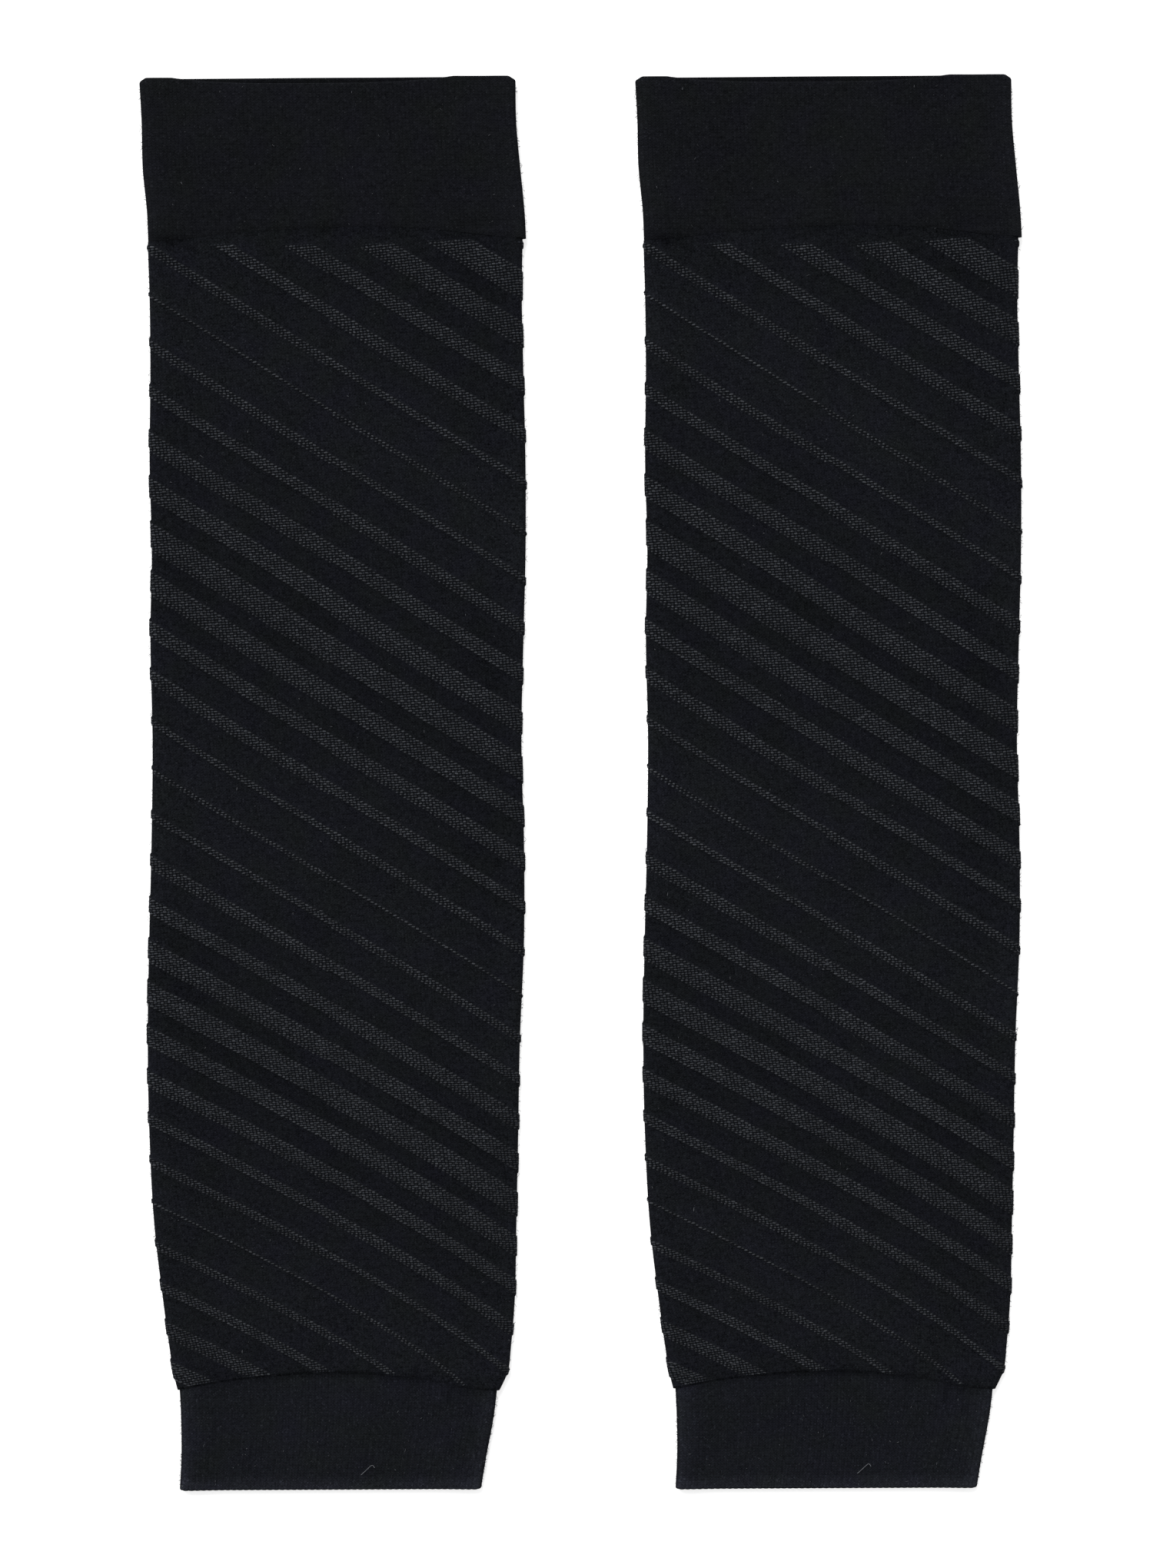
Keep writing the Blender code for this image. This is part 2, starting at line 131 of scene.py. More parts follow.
# Seams, uneven arches between the pieces: the place across, from -1 at the left fold to 1 at the
# right one, and the distance down
UPPER_SEAM = (
    (-1, -0.8, -0.6, -0.3, 0.1, 0.35, 0.65, 0.85, 1),
    mm(44.7, 44, 42.6, 41.6, 40.7, 40.9, 42.1, 43.3, 43.8),
)
LOWER_SEAM = (
    (-1, -0.7, -0.4, 0, 0.3, 0.6, 0.8, 1),
    mm(353.3, 351.1, 349.7, 348.8, 349.6, 351.1, 352.8, 353.4),
)
BOTTOM_DROP = 0.0002
BOTTOM_TILT = 0.0002

# Painted shade along a seam, which stands in for the shadow of its groove and small creases: how dark it
# is at places across, and how far from the seam it reaches
UPPER_SEAM_SHADE = (
    (-1, -0.88, -0.76, -0.62, -0.45, -0.25, -0.05, 0.15, 0.35, 0.5, 0.66, 0.82, 1),
    (0.16, 0.3, 0.14, 0.1, 0.15, 0.14, 0.2, 0.13, 0.17, 0.07, 0.17, 0.07, 0.16),
    mm(2.4, 1.9, 1.5, 1.4, 1.2, 1.2, 1.5, 1.3, 1.5, 1.4, 1.8, 1.4, 1.4),
)
LOWER_SEAM_SHADE = (
    (-1, -0.8, -0.5, -0.1, 0.2, 0.48, 0.62, 0.78, 1),
    (0.06, 0.15, 0.28, 0.38, 0.38, 0.3, 0.08, 0.24, 0.18),
    mm(1.2, 1.2, 1.1, 1, 1, 1.1, 1.2, 1.4, 1.2),
)

# Creases: the middle of each from the sleeve's middle line and from its top, how it leans in radians,
# half its length, half its width and its depth, which is below nothing for a ridge. In millimetres.
FRONT_CREASES = (
    (-45, 44.6, 0.15, 5.5, 1.4, 0.3), (39, 39.7, -0.12, 8.5, 1.1, 0.28),
    (42, 41.8, -0.05, 6, 0.9, -0.2), (-5, 39.3, -0.03, 9, 1, -0.12), (-26, 37.5, -0.2, 8, 1.3, 0.14),
    (15, 33, -0.25, 11, 1.6, 0.12), (-15, 24, 0.3, 13, 2.2, 0.1), (30, 18, 0.2, 12, 2.4, 0.1),
    (38, 59, 1.3, 12, 6, 0.22), (40, 155, 1.5, 22, 6, 0.25), (39, 220, 1.55, 18, 6, 0.22),
    (-30, 125, 0.6, 20, 5, -0.18), (5, 270, 0.55, 24, 6, -0.18), (-25, 305, 0.5, 16, 4.5, 0.18),
    (36.2, 356.5, 1.5, 3.5, 0.9, 0.35), (32.5, 355, 0.1, 1.6, 1.2, -0.3), (39, 348, 0.4, 5, 2, -0.25),
)
BACK_CREASES = (
    (-38, 44, -0.12, 8, 1.3, 0.28), (43, 43, 0.15, 6, 1.4, 0.3), (10, 35, 0.22, 12, 1.8, 0.14),
    (-20, 22, -0.25, 13, 2.4, 0.12), (-39, 90, 1.45, 18, 6, 0.22), (-40, 190, 1.55, 22, 6, 0.25),
    (25, 150, 0.6, 22, 5, 0.18), (5, 240, 0.55, 24, 6, 0.2), (37, 290, 1.5, 16, 5, 0.22),
    (-35, 356, 1.5, 3.5, 1, 0.3),
)
HOLLOW = 0.0003  # a crease this deep gets the darkest painted shade, and a ridge this high the most painted light
WEAR_AND_SHEEN = (0.0044, 0.0040)  # the cloth is paler over these distances from the left and right fold, partly rubbed yarn and partly painted sheen
FOLD_LINE = 0.0010  # and has painted shade over this one, along the fold itself, where the cloth turns away from the light
FLOAT_FOLD_SHADE = (0.0010, 0.0060)  # the floats get painted shade over these distances from the folds, where they turn away from the light
DIM_LOW = 0.38  # and dimmer by this share of that towards the wrist, from a distance down and over one
DIM_FROM = 0.2000
DIM_OVER = 0.1200

# A loose end of yarn on the lower cuff, bent over near its tip: turns and distances down
LOOSE_END = (
    (0.2985, 0.303, 0.3075, 0.3115, 0.314, 0.3158, 0.3174, 0.3196),
    mm(376, 375.25, 374.45, 373.75, 373.4, 373.36, 373.58, 374.1),
)
LOOSE_END_THICKNESS = 0.00015

# Stripes: ten spirals, which each drop ten pitches in one turn. Distances down, with the pitches above.
STRIPE_PITCH = (
    mm(-19, 46, 123.7, 186.6, 246.8, 302.9, 359),
    (-5, 0, 6, 11, 16, 21, 26),
)
STARTS = 10
STRIPE_NUMBERS = range(STRIPE_PITCH[1][0] - STARTS, STRIPE_PITCH[1][-1] + STARTS // 2)
THINNEST = 1  # the count of the thinnest stripe
THIN_STRIPE = 0.100  # widths and flanks as shares of the stripe pitch
WIDER_EACH = 0.100
FLANK = 0.040
STRIPES_BEGIN = 0.0459
STRIPES_BEGIN_RISE = 0.0019
STRIPES_STOP = 0.0008
STRIPE_END = 0.0006
ROWS_IN_STRIPE = 4
ROWS_IN_FLANK = 2
ROWS_IN_GROUND = 4

# How much higher the stripes lie than their pitch gives: distances down, with the lift there at the
# left fold, in the middle and at the right fold
STRIPE_LIFT = (
    mm(42, 60, 85, 120, 160, 205, 250, 300, 350),
    mm(0.3, 0.4, 0.7, 0.6, 1.1, 0.5, 0.8, 0.5, 0.2),
    mm(1.1, 1, 0.5, 0.7, 0.2, 0.4, 1.1, 1.5, 2.3),
    mm(2.7, 2.3, 1.5, 0.5, 0.2, -0.4, -0.8, -0.7, -0.7),
)
ROUNDS = 4  # of working a place out anew from the last answer

# Stitches. The body is knitted in a spiral, so its courses climb by FEEDS in a turn and its columns
# lean. A stripe's row of floats steps one column and one course at a time.
WALES = 220  # columns of stitches round the body
FEEDS = 20
STITCHES_IN_PITCH = (WALES - FEEDS) // STARTS  # courses less columns, from one stripe to the next
COURSES_IN_PITCH = 18.2  # straight down
COURSES_IN_TURN = FEEDS + COURSES_IN_PITCH * STARTS  # along a stripe
START_LINE = 0.2430  # turns: where a round starts, and the pairs change over
PAIR_LONG = (1.0, 0.82, 0.68)  # lengths of a single float, the upper one of a pair and the lower one
PAIR_LEFT = (0.0, 0.0, 0.28)  # and how far left they lie, in columns
CUFF_WALES = 196
CUFF_COURSE = 0.00070
RIBS_ROUND = 100
SCALLOP = 0.00008
RIB_END = 0.0045  # the ribs look paler over this distance from their end
RIB_EDGE = 0.0003  # and darker over this one

WELD = 0.000001
SHARP = math.radians(40)
FITTED = (0.0015, 8)  # panel step and fold steps at which a sleeve is fitted to its place
FITTED_ROWS = 60
PITCH_PLACES = 4000  # at which the pitch table is read to turn it round
SHOULDER_ROWS = 5
RIM_ROWS = 6
CUFF_INSIDE = 5  # the rows inside a cuff and inside the body are this many times as far apart
BODY_INSIDE = 10
INSIDE_DEPTH = 0.6  # deeper in the wall than this share counts as the inside

# A float: how far along it each section lies, in lengths, and how full it is. Then the shares between
# which its size varies, how much flatter it is on a fold, and the spread of its lean and its place.
FRONT_FLOAT = ((-0.30, 0.85), (0.0, 1.0), (0.30, 0.85))
BACK_FLOAT = ((-0.25, 1.0), (0.25, 1.0))
FLOAT_SIDES = 3  # points over a section
LONG = (0.74, 1.14)
WIDE = (0.70, 1.15)
HIGH = (0.75, 1.0)
FOLD_PRESS = 0.6
LEAN_SPREAD = math.radians(6)
SLIP_SPREAD = 0.00005

# Loose fibres: which stretches of each tube they lie on, with the share of them there
FIBRE_SPANS = (
    (UPPER_CUFF, 0.003, 0.042, 0.14), (BODY, 0.046, 0.346, 0.66), (LOWER_CUFF, 0.355, 0.379, 0.20),
)
FIBRE_POINTS = 3
FIBRE_SHORTEST = 0.3
FIBRE_BEND = 0.5
FIBRE_SLANT = 0.6
FIBRE_SPREAD = 0.002  # turns from the fold
FIBRE_ROOT = 0.0001  # how deep a fibre starts in the cloth
SPECK_HIGH = 0.00035
SPECK_ARCH = 0.00015
SPECK_UNDER = 0.00045
LOOSE_END_HIGH = 0.0005
LOOSE_END_ARCH = 0.0003
UNLIKE_ANY_WAY = (0.36, 0.48, 0.80)  # no fibre runs this way, so it serves to find one across it


def smooth(table, at):
    """The values of a table's other columns at places along its first.

    Between two rows each is the cubic that meets both, with the slopes that the neighbours give.
    """
    x, *columns = np.array(table, float)
    at = np.clip(at, x[0], x[-1])
    i = np.clip(np.searchsorted(x, at) - 1, 0, len(x) - 2)
    step = x[i + 1] - x[i]
    t = (at - x[i]) / step
    values = []
    for y in columns:
        slope = np.gradient(y, x)
        bend = t * (1 - t) ** 2 * slope[i] - t**2 * (1 - t) * slope[i + 1]
        values.append(y[i] + (y[i + 1] - y[i]) * (3 * t**2 - 2 * t**3) + step * bend)
    return values


def ease_in(value):
    """Runs from 0 to 1 as the value does: three times its square less twice its cube."""
    t = np.clip(value, 0, 1)
    return t * t * (3 - 2 * t)


def bell(distance, width):
    """A bell curve of the distance: 1 where it is nothing, and a little over a third at the width."""
    return np.exp(-((distance / width) ** 2))


def way_round(turn):
    """A turn's place, from -1 at the left fold's centre to 1 at the right one's, and the way it faces.

    That way is in radians from +X towards +Z. Both run evenly along panels and round folds.
    """
    along = np.mod(turn, 1) * GIRTH
    ends = np.cumsum((0, QUARTER_FOLD, PANEL, 2 * QUARTER_FOLD, PANEL, QUARTER_FOLD))
    across = np.interp(along, ends, (-1, -1, 1, 1, -1, -1))
    facing = np.interp(along, ends, np.radians((180, 90, 90, -90, -90, -180)))
    return across, facing


def place_across(turn):
    """A turn's distance from the middle line as a share of the half width, -1 to 1."""
    across, facing = way_round(turn)
    return (across * PANEL / 2 + FOLD_RADIUS * np.cos(facing)) / HALF_WIDTH


def top_edge(turn):
    """Distance down of the sleeve's top edge: a flat-topped arch sags on the front."""
    x = place_across(turn)
    front = (1 + np.sin(way_round(turn)[1])) / 2
    arch = np.clip(1 - abs((x - FRONT_SAG_MIDDLE) / FRONT_SAG_HALF) ** 3, 0, 1)
    sag = arch * (front * FRONT_SAG + (1 - front) * BACK_SAG)
    corner = ease_in((abs(x) - CORNER_START) / (1 - CORNER_START))
    return RIM_DROP - RIM_TILT * x + RIM_ARCH * x**2 + sag + CORNER_DROP * corner


def upper_seam(turn):
    """Distance down of the line where the upper cuff meets the body."""
    return smooth(UPPER_SEAM, place_across(turn))[0]


def lower_seam(turn):
    """Distance down of the line where the body meets the lower cuff."""
    return smooth(LOWER_SEAM, place_across(turn))[0]


def cuff_seam(turn):
    """The same line round the lower cuff, whose places across the outlines move to the body's."""
    down = lower_seam(turn)
    for _ in range(ROUNDS):
        left, right, _ = smooth(LOWER_CUFF.outline, down)
        x = (left + right + place_across(turn) * (right - left)) / 2
        left, right, _ = smooth(BODY.outline, down)
        down = smooth(LOWER_SEAM, (2 * x - left - right) / (right - left))[0]
    return down


def rib_wave(turn):
    """1 on a rib and 0 in the furrow: a cosine's size, so ribs are plump and furrows sharp."""
    return abs(np.cos(np.pi * RIBS_ROUND * turn))


def bottom_edge(turn):
    """Distance down of the lower cuff's edge, a sloping line scalloped where the ribs end."""
    return LENGTH + BOTTOM_DROP - BOTTOM_TILT * place_across(turn) - SCALLOP * (1 - rib_wave(turn))


def rib_end(turn, down):
    """How much paler the ribs look by their end, with a darker line along the end itself."""
    off = bottom_edge(turn) - down
    return ease_in(1 - off / RIB_END) - 2 * bell(off, RIB_EDGE)


def crease_depth(turn, down):
    """How deep the creases are: each is a bell curve off its own line times one along it.

    The ones of the front die away round the folds, as do the back's.
    """
    x, y = 1000 * HALF_WIDTH * place_across(turn), 1000 * down
    upward = np.sin(way_round(turn)[1])
    total = 0
    for creases, facing in ((FRONT_CREASES, upward), (BACK_CREASES, -upward)):
        for across, middle, lean, length, width, depth in creases:
            along = (x - across) * math.cos(lean) + (y - middle) * math.sin(lean)
            off = (y - middle) * math.cos(lean) - (x - across) * math.sin(lean)
            total = total + depth * bell(off, width) * bell(along, length) * np.clip(facing, 0, 1)
    return total / 1000


def tube_points(tube, turn, down, depth=0, raised=0):
    """Points of a flattened tube, whose side folds are round and whose two panels lie flat.

    Each point starts at its fold's centre, or between the two on a panel, and goes out by the
    radius the way that the cloth faces. depth is 0 on the wall's outer face and 1 on the inner
    one. raised moves a point outwards, and creases take it in. The front sinks between the
    folds by one less a bell curve of the distance from the fold.
    """
    across, facing = way_round(turn)
    left, right, height = smooth(tube.outline, down)
    radius = height / 2
    reach = (right - left) / 2 - radius + FOLD_FUZZ
    dip = PANEL_DIP * (1 - bell((1 - abs(across)) * reach, FOLD_EASE))
    out = radius - depth * tube.wall + raised - crease_depth(turn, down)
    x = (left + right) / 2 + across * reach + out * np.cos(facing)
    z = radius + out * np.sin(facing) - dip * (np.sin(facing) > 0)
    return np.stack(np.broadcast_arrays(x, LENGTH / 2 - down, z), axis=-1)


def under(turn):
    """1 where the cloth faces the table, 0 where it faces up or sideways."""
    return np.clip(-np.sin(way_round(turn)[1]), 0, 1)


def stripe_count(down):
    """How many stripe pitches lie above a distance down, at the left edge."""
    return smooth(STRIPE_PITCH, down)[0]


def stripe_lift(turn, down):
    """How much higher the stripes lie than their pitch gives: a parabola across through the table."""
    x = place_across(turn)
    left, middle, right = smooth(STRIPE_LIFT, down)
    return left * x * (x - 1) / 2 + middle * (1 - x**2) + right * x * (x + 1) / 2


def stripe_label(turn, down):
    """The count of the stripe that a place lies on: whole numbers run along the stripes' middles."""
    return stripe_count(down + stripe_lift(turn, down)) - STARTS * turn


def stripe_down(label, turn):
    """The distance down at which a line along the stripes crosses a turn.

    The pitch table is read backwards, and the lift is taken off, worked out anew from each answer.
    """
    even = np.linspace(STRIPE_PITCH[0][0], STRIPE_PITCH[0][-1], PITCH_PLACES)
    even = np.interp(label + STARTS * turn, stripe_count(even), even)
    down = even
    for _ in range(ROUNDS):
        down = even - stripe_lift(turn, down)
    return down


def body_stitches(turn, down):
    """The column and the course of stitches at a place on the body."""
    label = stripe_label(turn, down)
    course = COURSES_IN_PITCH * label + COURSES_IN_TURN * turn
    return course - STITCHES_IN_PITCH * label, course


def cuff_stitches(turn, down):
    """The same at a place on a cuff."""
    return CUFF_WALES * turn, down / CUFF_COURSE


def from_thinnest(number):
    """How many stripes away the nearest of the thinnest is: five at the widest stripe."""
    step = np.mod(number - THINNEST, STARTS)
    return np.minimum(step, STARTS - step)


def stripe_half_width(number):
    """Half a stripe's width, as a share of the pitch: it swells over five stripes and thins again."""
    return (THIN_STRIPE + WIDER_EACH * from_thinnest(number)) / 2


def stripe_inside(turn, down):
    """How far inside a stripe a point lies, in pitches, and less than nothing on the ground."""
    label = stripe_label(turn, down)
    nearest = np.round(label)
    return stripe_half_width(nearest) - abs(label - nearest)


def stripes_begin(turn):
    """Distance down of the line where the stripes begin, which rises to the right."""
    rise = STRIPES_BEGIN_RISE * ease_in(place_across(turn))
    return np.maximum(STRIPES_BEGIN - rise, upper_seam(turn) + 2 * SHOULDER)


def stripes_stop(turn):
    """Distance down of the line where the stripes stop."""
    return lower_seam(turn) - STRIPES_STOP


def stripe_mask(turn, down):
    """1 on a stripe and 0 on the ground, eased over the flanks and the sloping ends."""
    past = np.maximum(stripes_begin(turn) - down, down - stripes_stop(turn)) / STRIPE_END
    return ease_in(stripe_inside(turn, down) / FLANK) * np.clip(1 - past, 0, 1)


def crowding(turn, down):
    """0 where the stripes are thin and 1 where they are widest, in a straight line between."""
    return from_thinnest(stripe_label(turn, down)) / (STARTS / 2)


def seam_painted_shade(line, looks):
    """A function for the painted shade near a seam: a bell curve of the way down to its line."""

    def dark(turn, down):
        darkest, reach = smooth(looks, place_across(turn))
        return darkest * bell(down - line(turn), reach)

    return dark


def fold_bell(turn, left, right):
    """1 along both side folds and 0 on the panels: bell curves of the way round to each fold."""
    way_to_left, way_to_right = ((np.mod(turn - fold + 0.5, 1) - 0.5) * GIRTH for fold in (0.0, 0.5))
    return bell(way_to_left, left) + bell(way_to_right, right)


def fold_wear_and_painted_light(turn, down):
    """Paler by the folds, partly wear and partly painted sheen, with painted shade along the fold itself.
    """
    return fold_bell(turn, *WEAR_AND_SHEEN) - 2 * fold_bell(turn, FOLD_LINE, FOLD_LINE)


def crease_shade(turn, down):
    """Painted shade: 1 in the deepest creases, 0 where the cloth is even, -1 (painted light) on the
    highest ridges.
    """
    return np.clip(crease_depth(turn, down) / HOLLOW, -1, 1)


def round_turns(panel_step, fold_steps):
    """Turns from the middle of the back all the way round, with more of them on the folds."""
    steps = 2 * round(PANEL / panel_step / 2)
    back = np.linspace(-0.25, -FOLD_TURN, steps // 2 + 1)
    fold = np.linspace(-FOLD_TURN, FOLD_TURN, fold_steps + 1)
    front = np.linspace(FOLD_TURN, 0.5 - FOLD_TURN, steps + 1)
    return np.concatenate((back[:-1], fold[:-1], front[:-1], fold[:-1] + 0.5, 0.5 - back[::-1]))


def place(side):
    """What moves a sleeve from the tables' coordinates to its place in the frame.

    The plain upper cuff is the same in both, so its box there is laid on its box in the frame.
    """
    turn, share = np.meshgrid(round_turns(*FITTED), np.linspace(0, 1, FITTED_ROWS))
    down = top_edge(turn) + share * (upper_seam(turn) - SEAM_GAP / 2 - top_edge(turn))
    points = tube_points(UPPER_CUFF, turn, down).reshape(-1, 3)
    middle = (points.min(axis=0) + points.max(axis=0)) / 2
    moved = np.mean(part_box(f"{side}_upper_cuff"), axis=0) - middle
    moved[2] = 0.0
    return moved


def shoulder(edge, inward, raised, depth):
    """Rows over a rounded edge, from its end face to the cloth's outer face: a quarter ellipse.

    A row is how far down each of its points lies, how deep in the wall and how far raised.
    """
    rows = []
    for angle in np.linspace(0, math.pi / 2, SHOULDER_ROWS):
        down = edge + inward * SHOULDER * (1 - math.cos(angle))
        rows.append((down, depth * (1 - math.sin(angle)), raised))
    return rows


def plain_rows(start, end, step, raised, depth=0.0):
    """Evenly spaced rows from one line to another, with both."""
    count = max(2, round(abs(float(np.mean(end - start))) / step) + 1)
    return [(start + share * (end - start), depth, raised) for share in np.linspace(0, 1, count)]


def cloth_mesh(side, kind, tube, turns, rows, stitches, **shades):
    """A closed wall of cloth: one grid of rows that run down its outside and up its inside.

    stitches gives the column and the course at a place. shades are more values that the material
    reads, as functions alike.
    """
    columns = zip(*rows)
    down, depth, raised = (np.array([np.broadcast_to(v, turns.shape) for v in one]) for one in columns)
    turn = np.broadcast_to(turns, down.shape)
    points = tube_points(tube, turn, down, depth, raised) + place(side)
    flat = np.stack(stitches(turn, down), axis=-1)
    shades = {"crease_shade": crease_shade, "fold": fold_wear_and_painted_light, **shades}
    values = {key: shade(turn, down) for key, shade in shades.items()}
    values["inside"] = depth > INSIDE_DEPTH
    mesh = mesh_from(f"{side}_{kind}", points, grid_faces(down.shape), flat, values)
    welded = bmesh.new()
    welded.from_mesh(mesh)
    bmesh.ops.remove_doubles(welded, verts=welded.verts, dist=WELD)
    welded.to_mesh(mesh)
    welded.free()
    mesh.shade_smooth()
    mesh.set_sharp_from_angle(angle=SHARP)
    return mesh


def grid_faces(shape):
    """Faces between the points of a grid, which face out where rows run down and columns round."""
    number = np.arange(shape[0] * shape[1]).reshape(shape)
    corners = (number[:-1, :-1], number[1:, :-1], number[1:, 1:], number[:-1, 1:])
    return np.stack(corners, axis=-1).reshape(-1, 4)


def mesh_from(name, points, faces, flat=None, values=None):
    """A mesh from arrays of points and faces, with a UV map and named values for each point."""
    mesh = bpy.data.meshes.new(name)
    mesh.from_pydata(points.reshape(-1, 3), [], faces)
    if flat is not None:
        layer = mesh.uv_layers.new(name="stitches")
        layer.uv.foreach_set("vector", flat.reshape(-1, 2)[faces.ravel()].astype(np.float32).ravel())
    for key, value in (values or {}).items():
        attribute = mesh.attributes.new(key, "FLOAT", "POINT")
        attribute.data.foreach_set("value", value.astype(np.float32).ravel())
    return mesh


def put(name, data):
    """A new object in the scene, at the origin."""
    thing = bpy.data.objects.new(name, data)
    bpy.context.scene.collection.objects.link(thing)
    return thing


def show(name, mesh, material):
    """A piece with its finish, riding on the frame's only body."""
    mesh.materials.append(material)
    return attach(put(name, mesh), "root")


def upper_cuff_mesh(side, sizes):
    """The double cuff: a half round rim, a plain outside, a rounded edge at the seam and the inside."""
    turns = round_turns(sizes.panel_step, sizes.fold_steps)
    top, seam = top_edge(turns), upper_seam(turns)

    def rim(start, end):
        angles = np.linspace(start, end, RIM_ROWS)
        return [(top + RIM_ROUND * (1 - math.sin(a)), (1 - math.cos(a)) / 2, 0.0) for a in angles]

    rows = rim(math.pi / 2, 0)
    rows += plain_rows(top + RIM_ROUND, seam - 3 * SHOULDER, sizes.row_step, 0.0)
    rows += plain_rows(seam - 3 * SHOULDER, seam - SHOULDER, SHOULDER, 0.0)
    rows += shoulder(seam, -1, 0.0, UPPER_SEAM_DEPTH)[::-1]
    rows += plain_rows(seam, top + RIM_ROUND, CUFF_INSIDE * sizes.row_step, 0.0, depth=1.0)
    rows += rim(math.pi, math.pi / 2)
    seam = seam_painted_shade(upper_seam, UPPER_SEAM_SHADE)
    return cloth_mesh(side, "cuff_knit", UPPER_CUFF, turns, rows, cuff_stitches, seam=seam)


def lower_cuff_mesh(side, sizes):
    """The ribbed cuff: ribs stand on the outside of a wall with a plain inside."""
    turns = np.linspace(-0.25, 0.75, RIBS_ROUND * sizes.rib_steps + 1)
    seam, bottom = cuff_seam(turns), bottom_edge(turns)
    raised = sizes.rib_raise * (rib_wave(turns) - under(turns))
    rows = shoulder(seam, 1, raised, LOWER_SEAM_DEPTH)
    rows += plain_rows(seam + SHOULDER, seam + 3 * SHOULDER, SHOULDER, raised)
    rows += plain_rows(seam + 3 * SHOULDER, bottom - SHOULDER, sizes.row_step, raised)
    rows += shoulder(bottom, -1, raised, BOTTOM_DEPTH)[::-1]
    rows += plain_rows(bottom, seam, CUFF_INSIDE * sizes.row_step, 0.0, depth=1.0)
    rows.append(rows[0])
    return cloth_mesh(
        side, "rib_knit", LOWER_CUFF, turns, rows, cuff_stitches, end=rib_end,
        seam=seam_painted_shade(cuff_seam, LOWER_SEAM_SHADE), rib=lambda turn, down: rib_wave(turn),
    )


def stripe_labels():
    """Counts of pitches along which the body's rows run, so that they lie on every stripe's edges."""
    labels = []
    for number in STRIPE_NUMBERS:
        half, after = stripe_half_width(number), stripe_half_width(number + 1)
        marks = (-half, FLANK - half, half - FLANK, half, 1 - after)
        counts = (ROWS_IN_FLANK, ROWS_IN_STRIPE, ROWS_IN_FLANK, ROWS_IN_GROUND)
        for start, end, count in zip(marks, marks[1:], counts):
            labels.append(number + np.linspace(start, end, count, endpoint=False))
    return np.concatenate(labels)


def body_raise(turn, down, sizes, yarn):
    """How far the body's outside is raised: on the stripes, and less on the underside.

    The underside is taken in by a stripe and a float, so that nothing goes below the table.
    """
    return sizes.stripe_raise * stripe_mask(turn, down) - (sizes.stripe_raise + yarn.height) * under(turn)


def body_mesh(side, sizes, yarn):
    """The striped body. Its outside rows follow the stripes, cut off where these begin and stop."""
    turns = round_turns(sizes.panel_step, sizes.fold_steps)
    seam, low_seam = upper_seam(turns), lower_seam(turns)
    begin, stop = stripes_begin(turns), stripes_stop(turns)
    ground = -(sizes.stripe_raise + yarn.height) * under(turns)

    def plain(start, end):
        lines = [start + share * (end - start) for share in (0, 0.5, 1)]
        return [(line, 0.0, body_raise(turns, line, sizes, yarn)) for line in lines]

    rows = shoulder(seam, 1, ground, UPPER_SEAM_DEPTH)
    rows += plain(seam + SHOULDER, begin - STRIPE_END) + plain(begin - STRIPE_END, begin)
    for label in stripe_labels():
        down = np.clip(stripe_down(label, turns), begin, stop)
        rows.append((down, 0.0, body_raise(turns, down, sizes, yarn)))
    rows += plain(stop, stop + STRIPE_END) + plain(stop + STRIPE_END, low_seam - SHOULDER)
    rows += shoulder(low_seam, -1, ground, LOWER_SEAM_DEPTH)[::-1]
    rows += plain_rows(low_seam, seam, BODY_INSIDE * sizes.row_step, 0.0, depth=1.0)
    rows.append(rows[0])
    upper, lower = seam_painted_shade(upper_seam, UPPER_SEAM_SHADE), seam_painted_shade(lower_seam, LOWER_SEAM_SHADE)
    return cloth_mesh(
        side, "striped_knit", BODY, turns, rows, body_stitches, stripe=stripe_mask, crowding=crowding,
        seam=lambda turn, down: upper(turn, down) + lower(turn, down),
    )


def bar_template(sections, sides):
    """One float of yarn, a bar with pointed ends, in shares of its length, width and height.

    A section's points are spread over half a turn, from one edge over the top to the other.
    Returns points as (along, across, up), and triangles.
    """
    angles = np.linspace(math.pi, 0, sides)
    points = [(-0.5, 0.0, 0.0)]
    for along, full in sections:
        points += [(along, 0.5 * full * math.cos(a), full * math.sin(a)) for a in angles]
    points.append((0.5, 0.0, 0.0))
    last = len(points) - 1
    faces = []
    for k in range(sides):
        after = (k + 1) % sides
        faces.append((0, 1 + after, 1 + k))
        faces.append((last, last - sides + k, last - sides + after))
        for ring in range(len(sections) - 1):
            a, b = 1 + ring * sides + k, 1 + ring * sides + after
            faces += [(a, b, b + sides), (a, b + sides, a + sides)]
    return np.array(points), np.array(faces)


def in_pairs(number, turn):
    """Whether a stripe's lowest row has pairs: in every other stripe, and in two at the widest.

    Past the start line, halfway across the front, the other stripes have them.
    """
    step = number - THINNEST
    lap = (step + STARTS // 2 - 1) // STARTS
    return (step + lap + (turn > START_LINE)) % 2 == 1


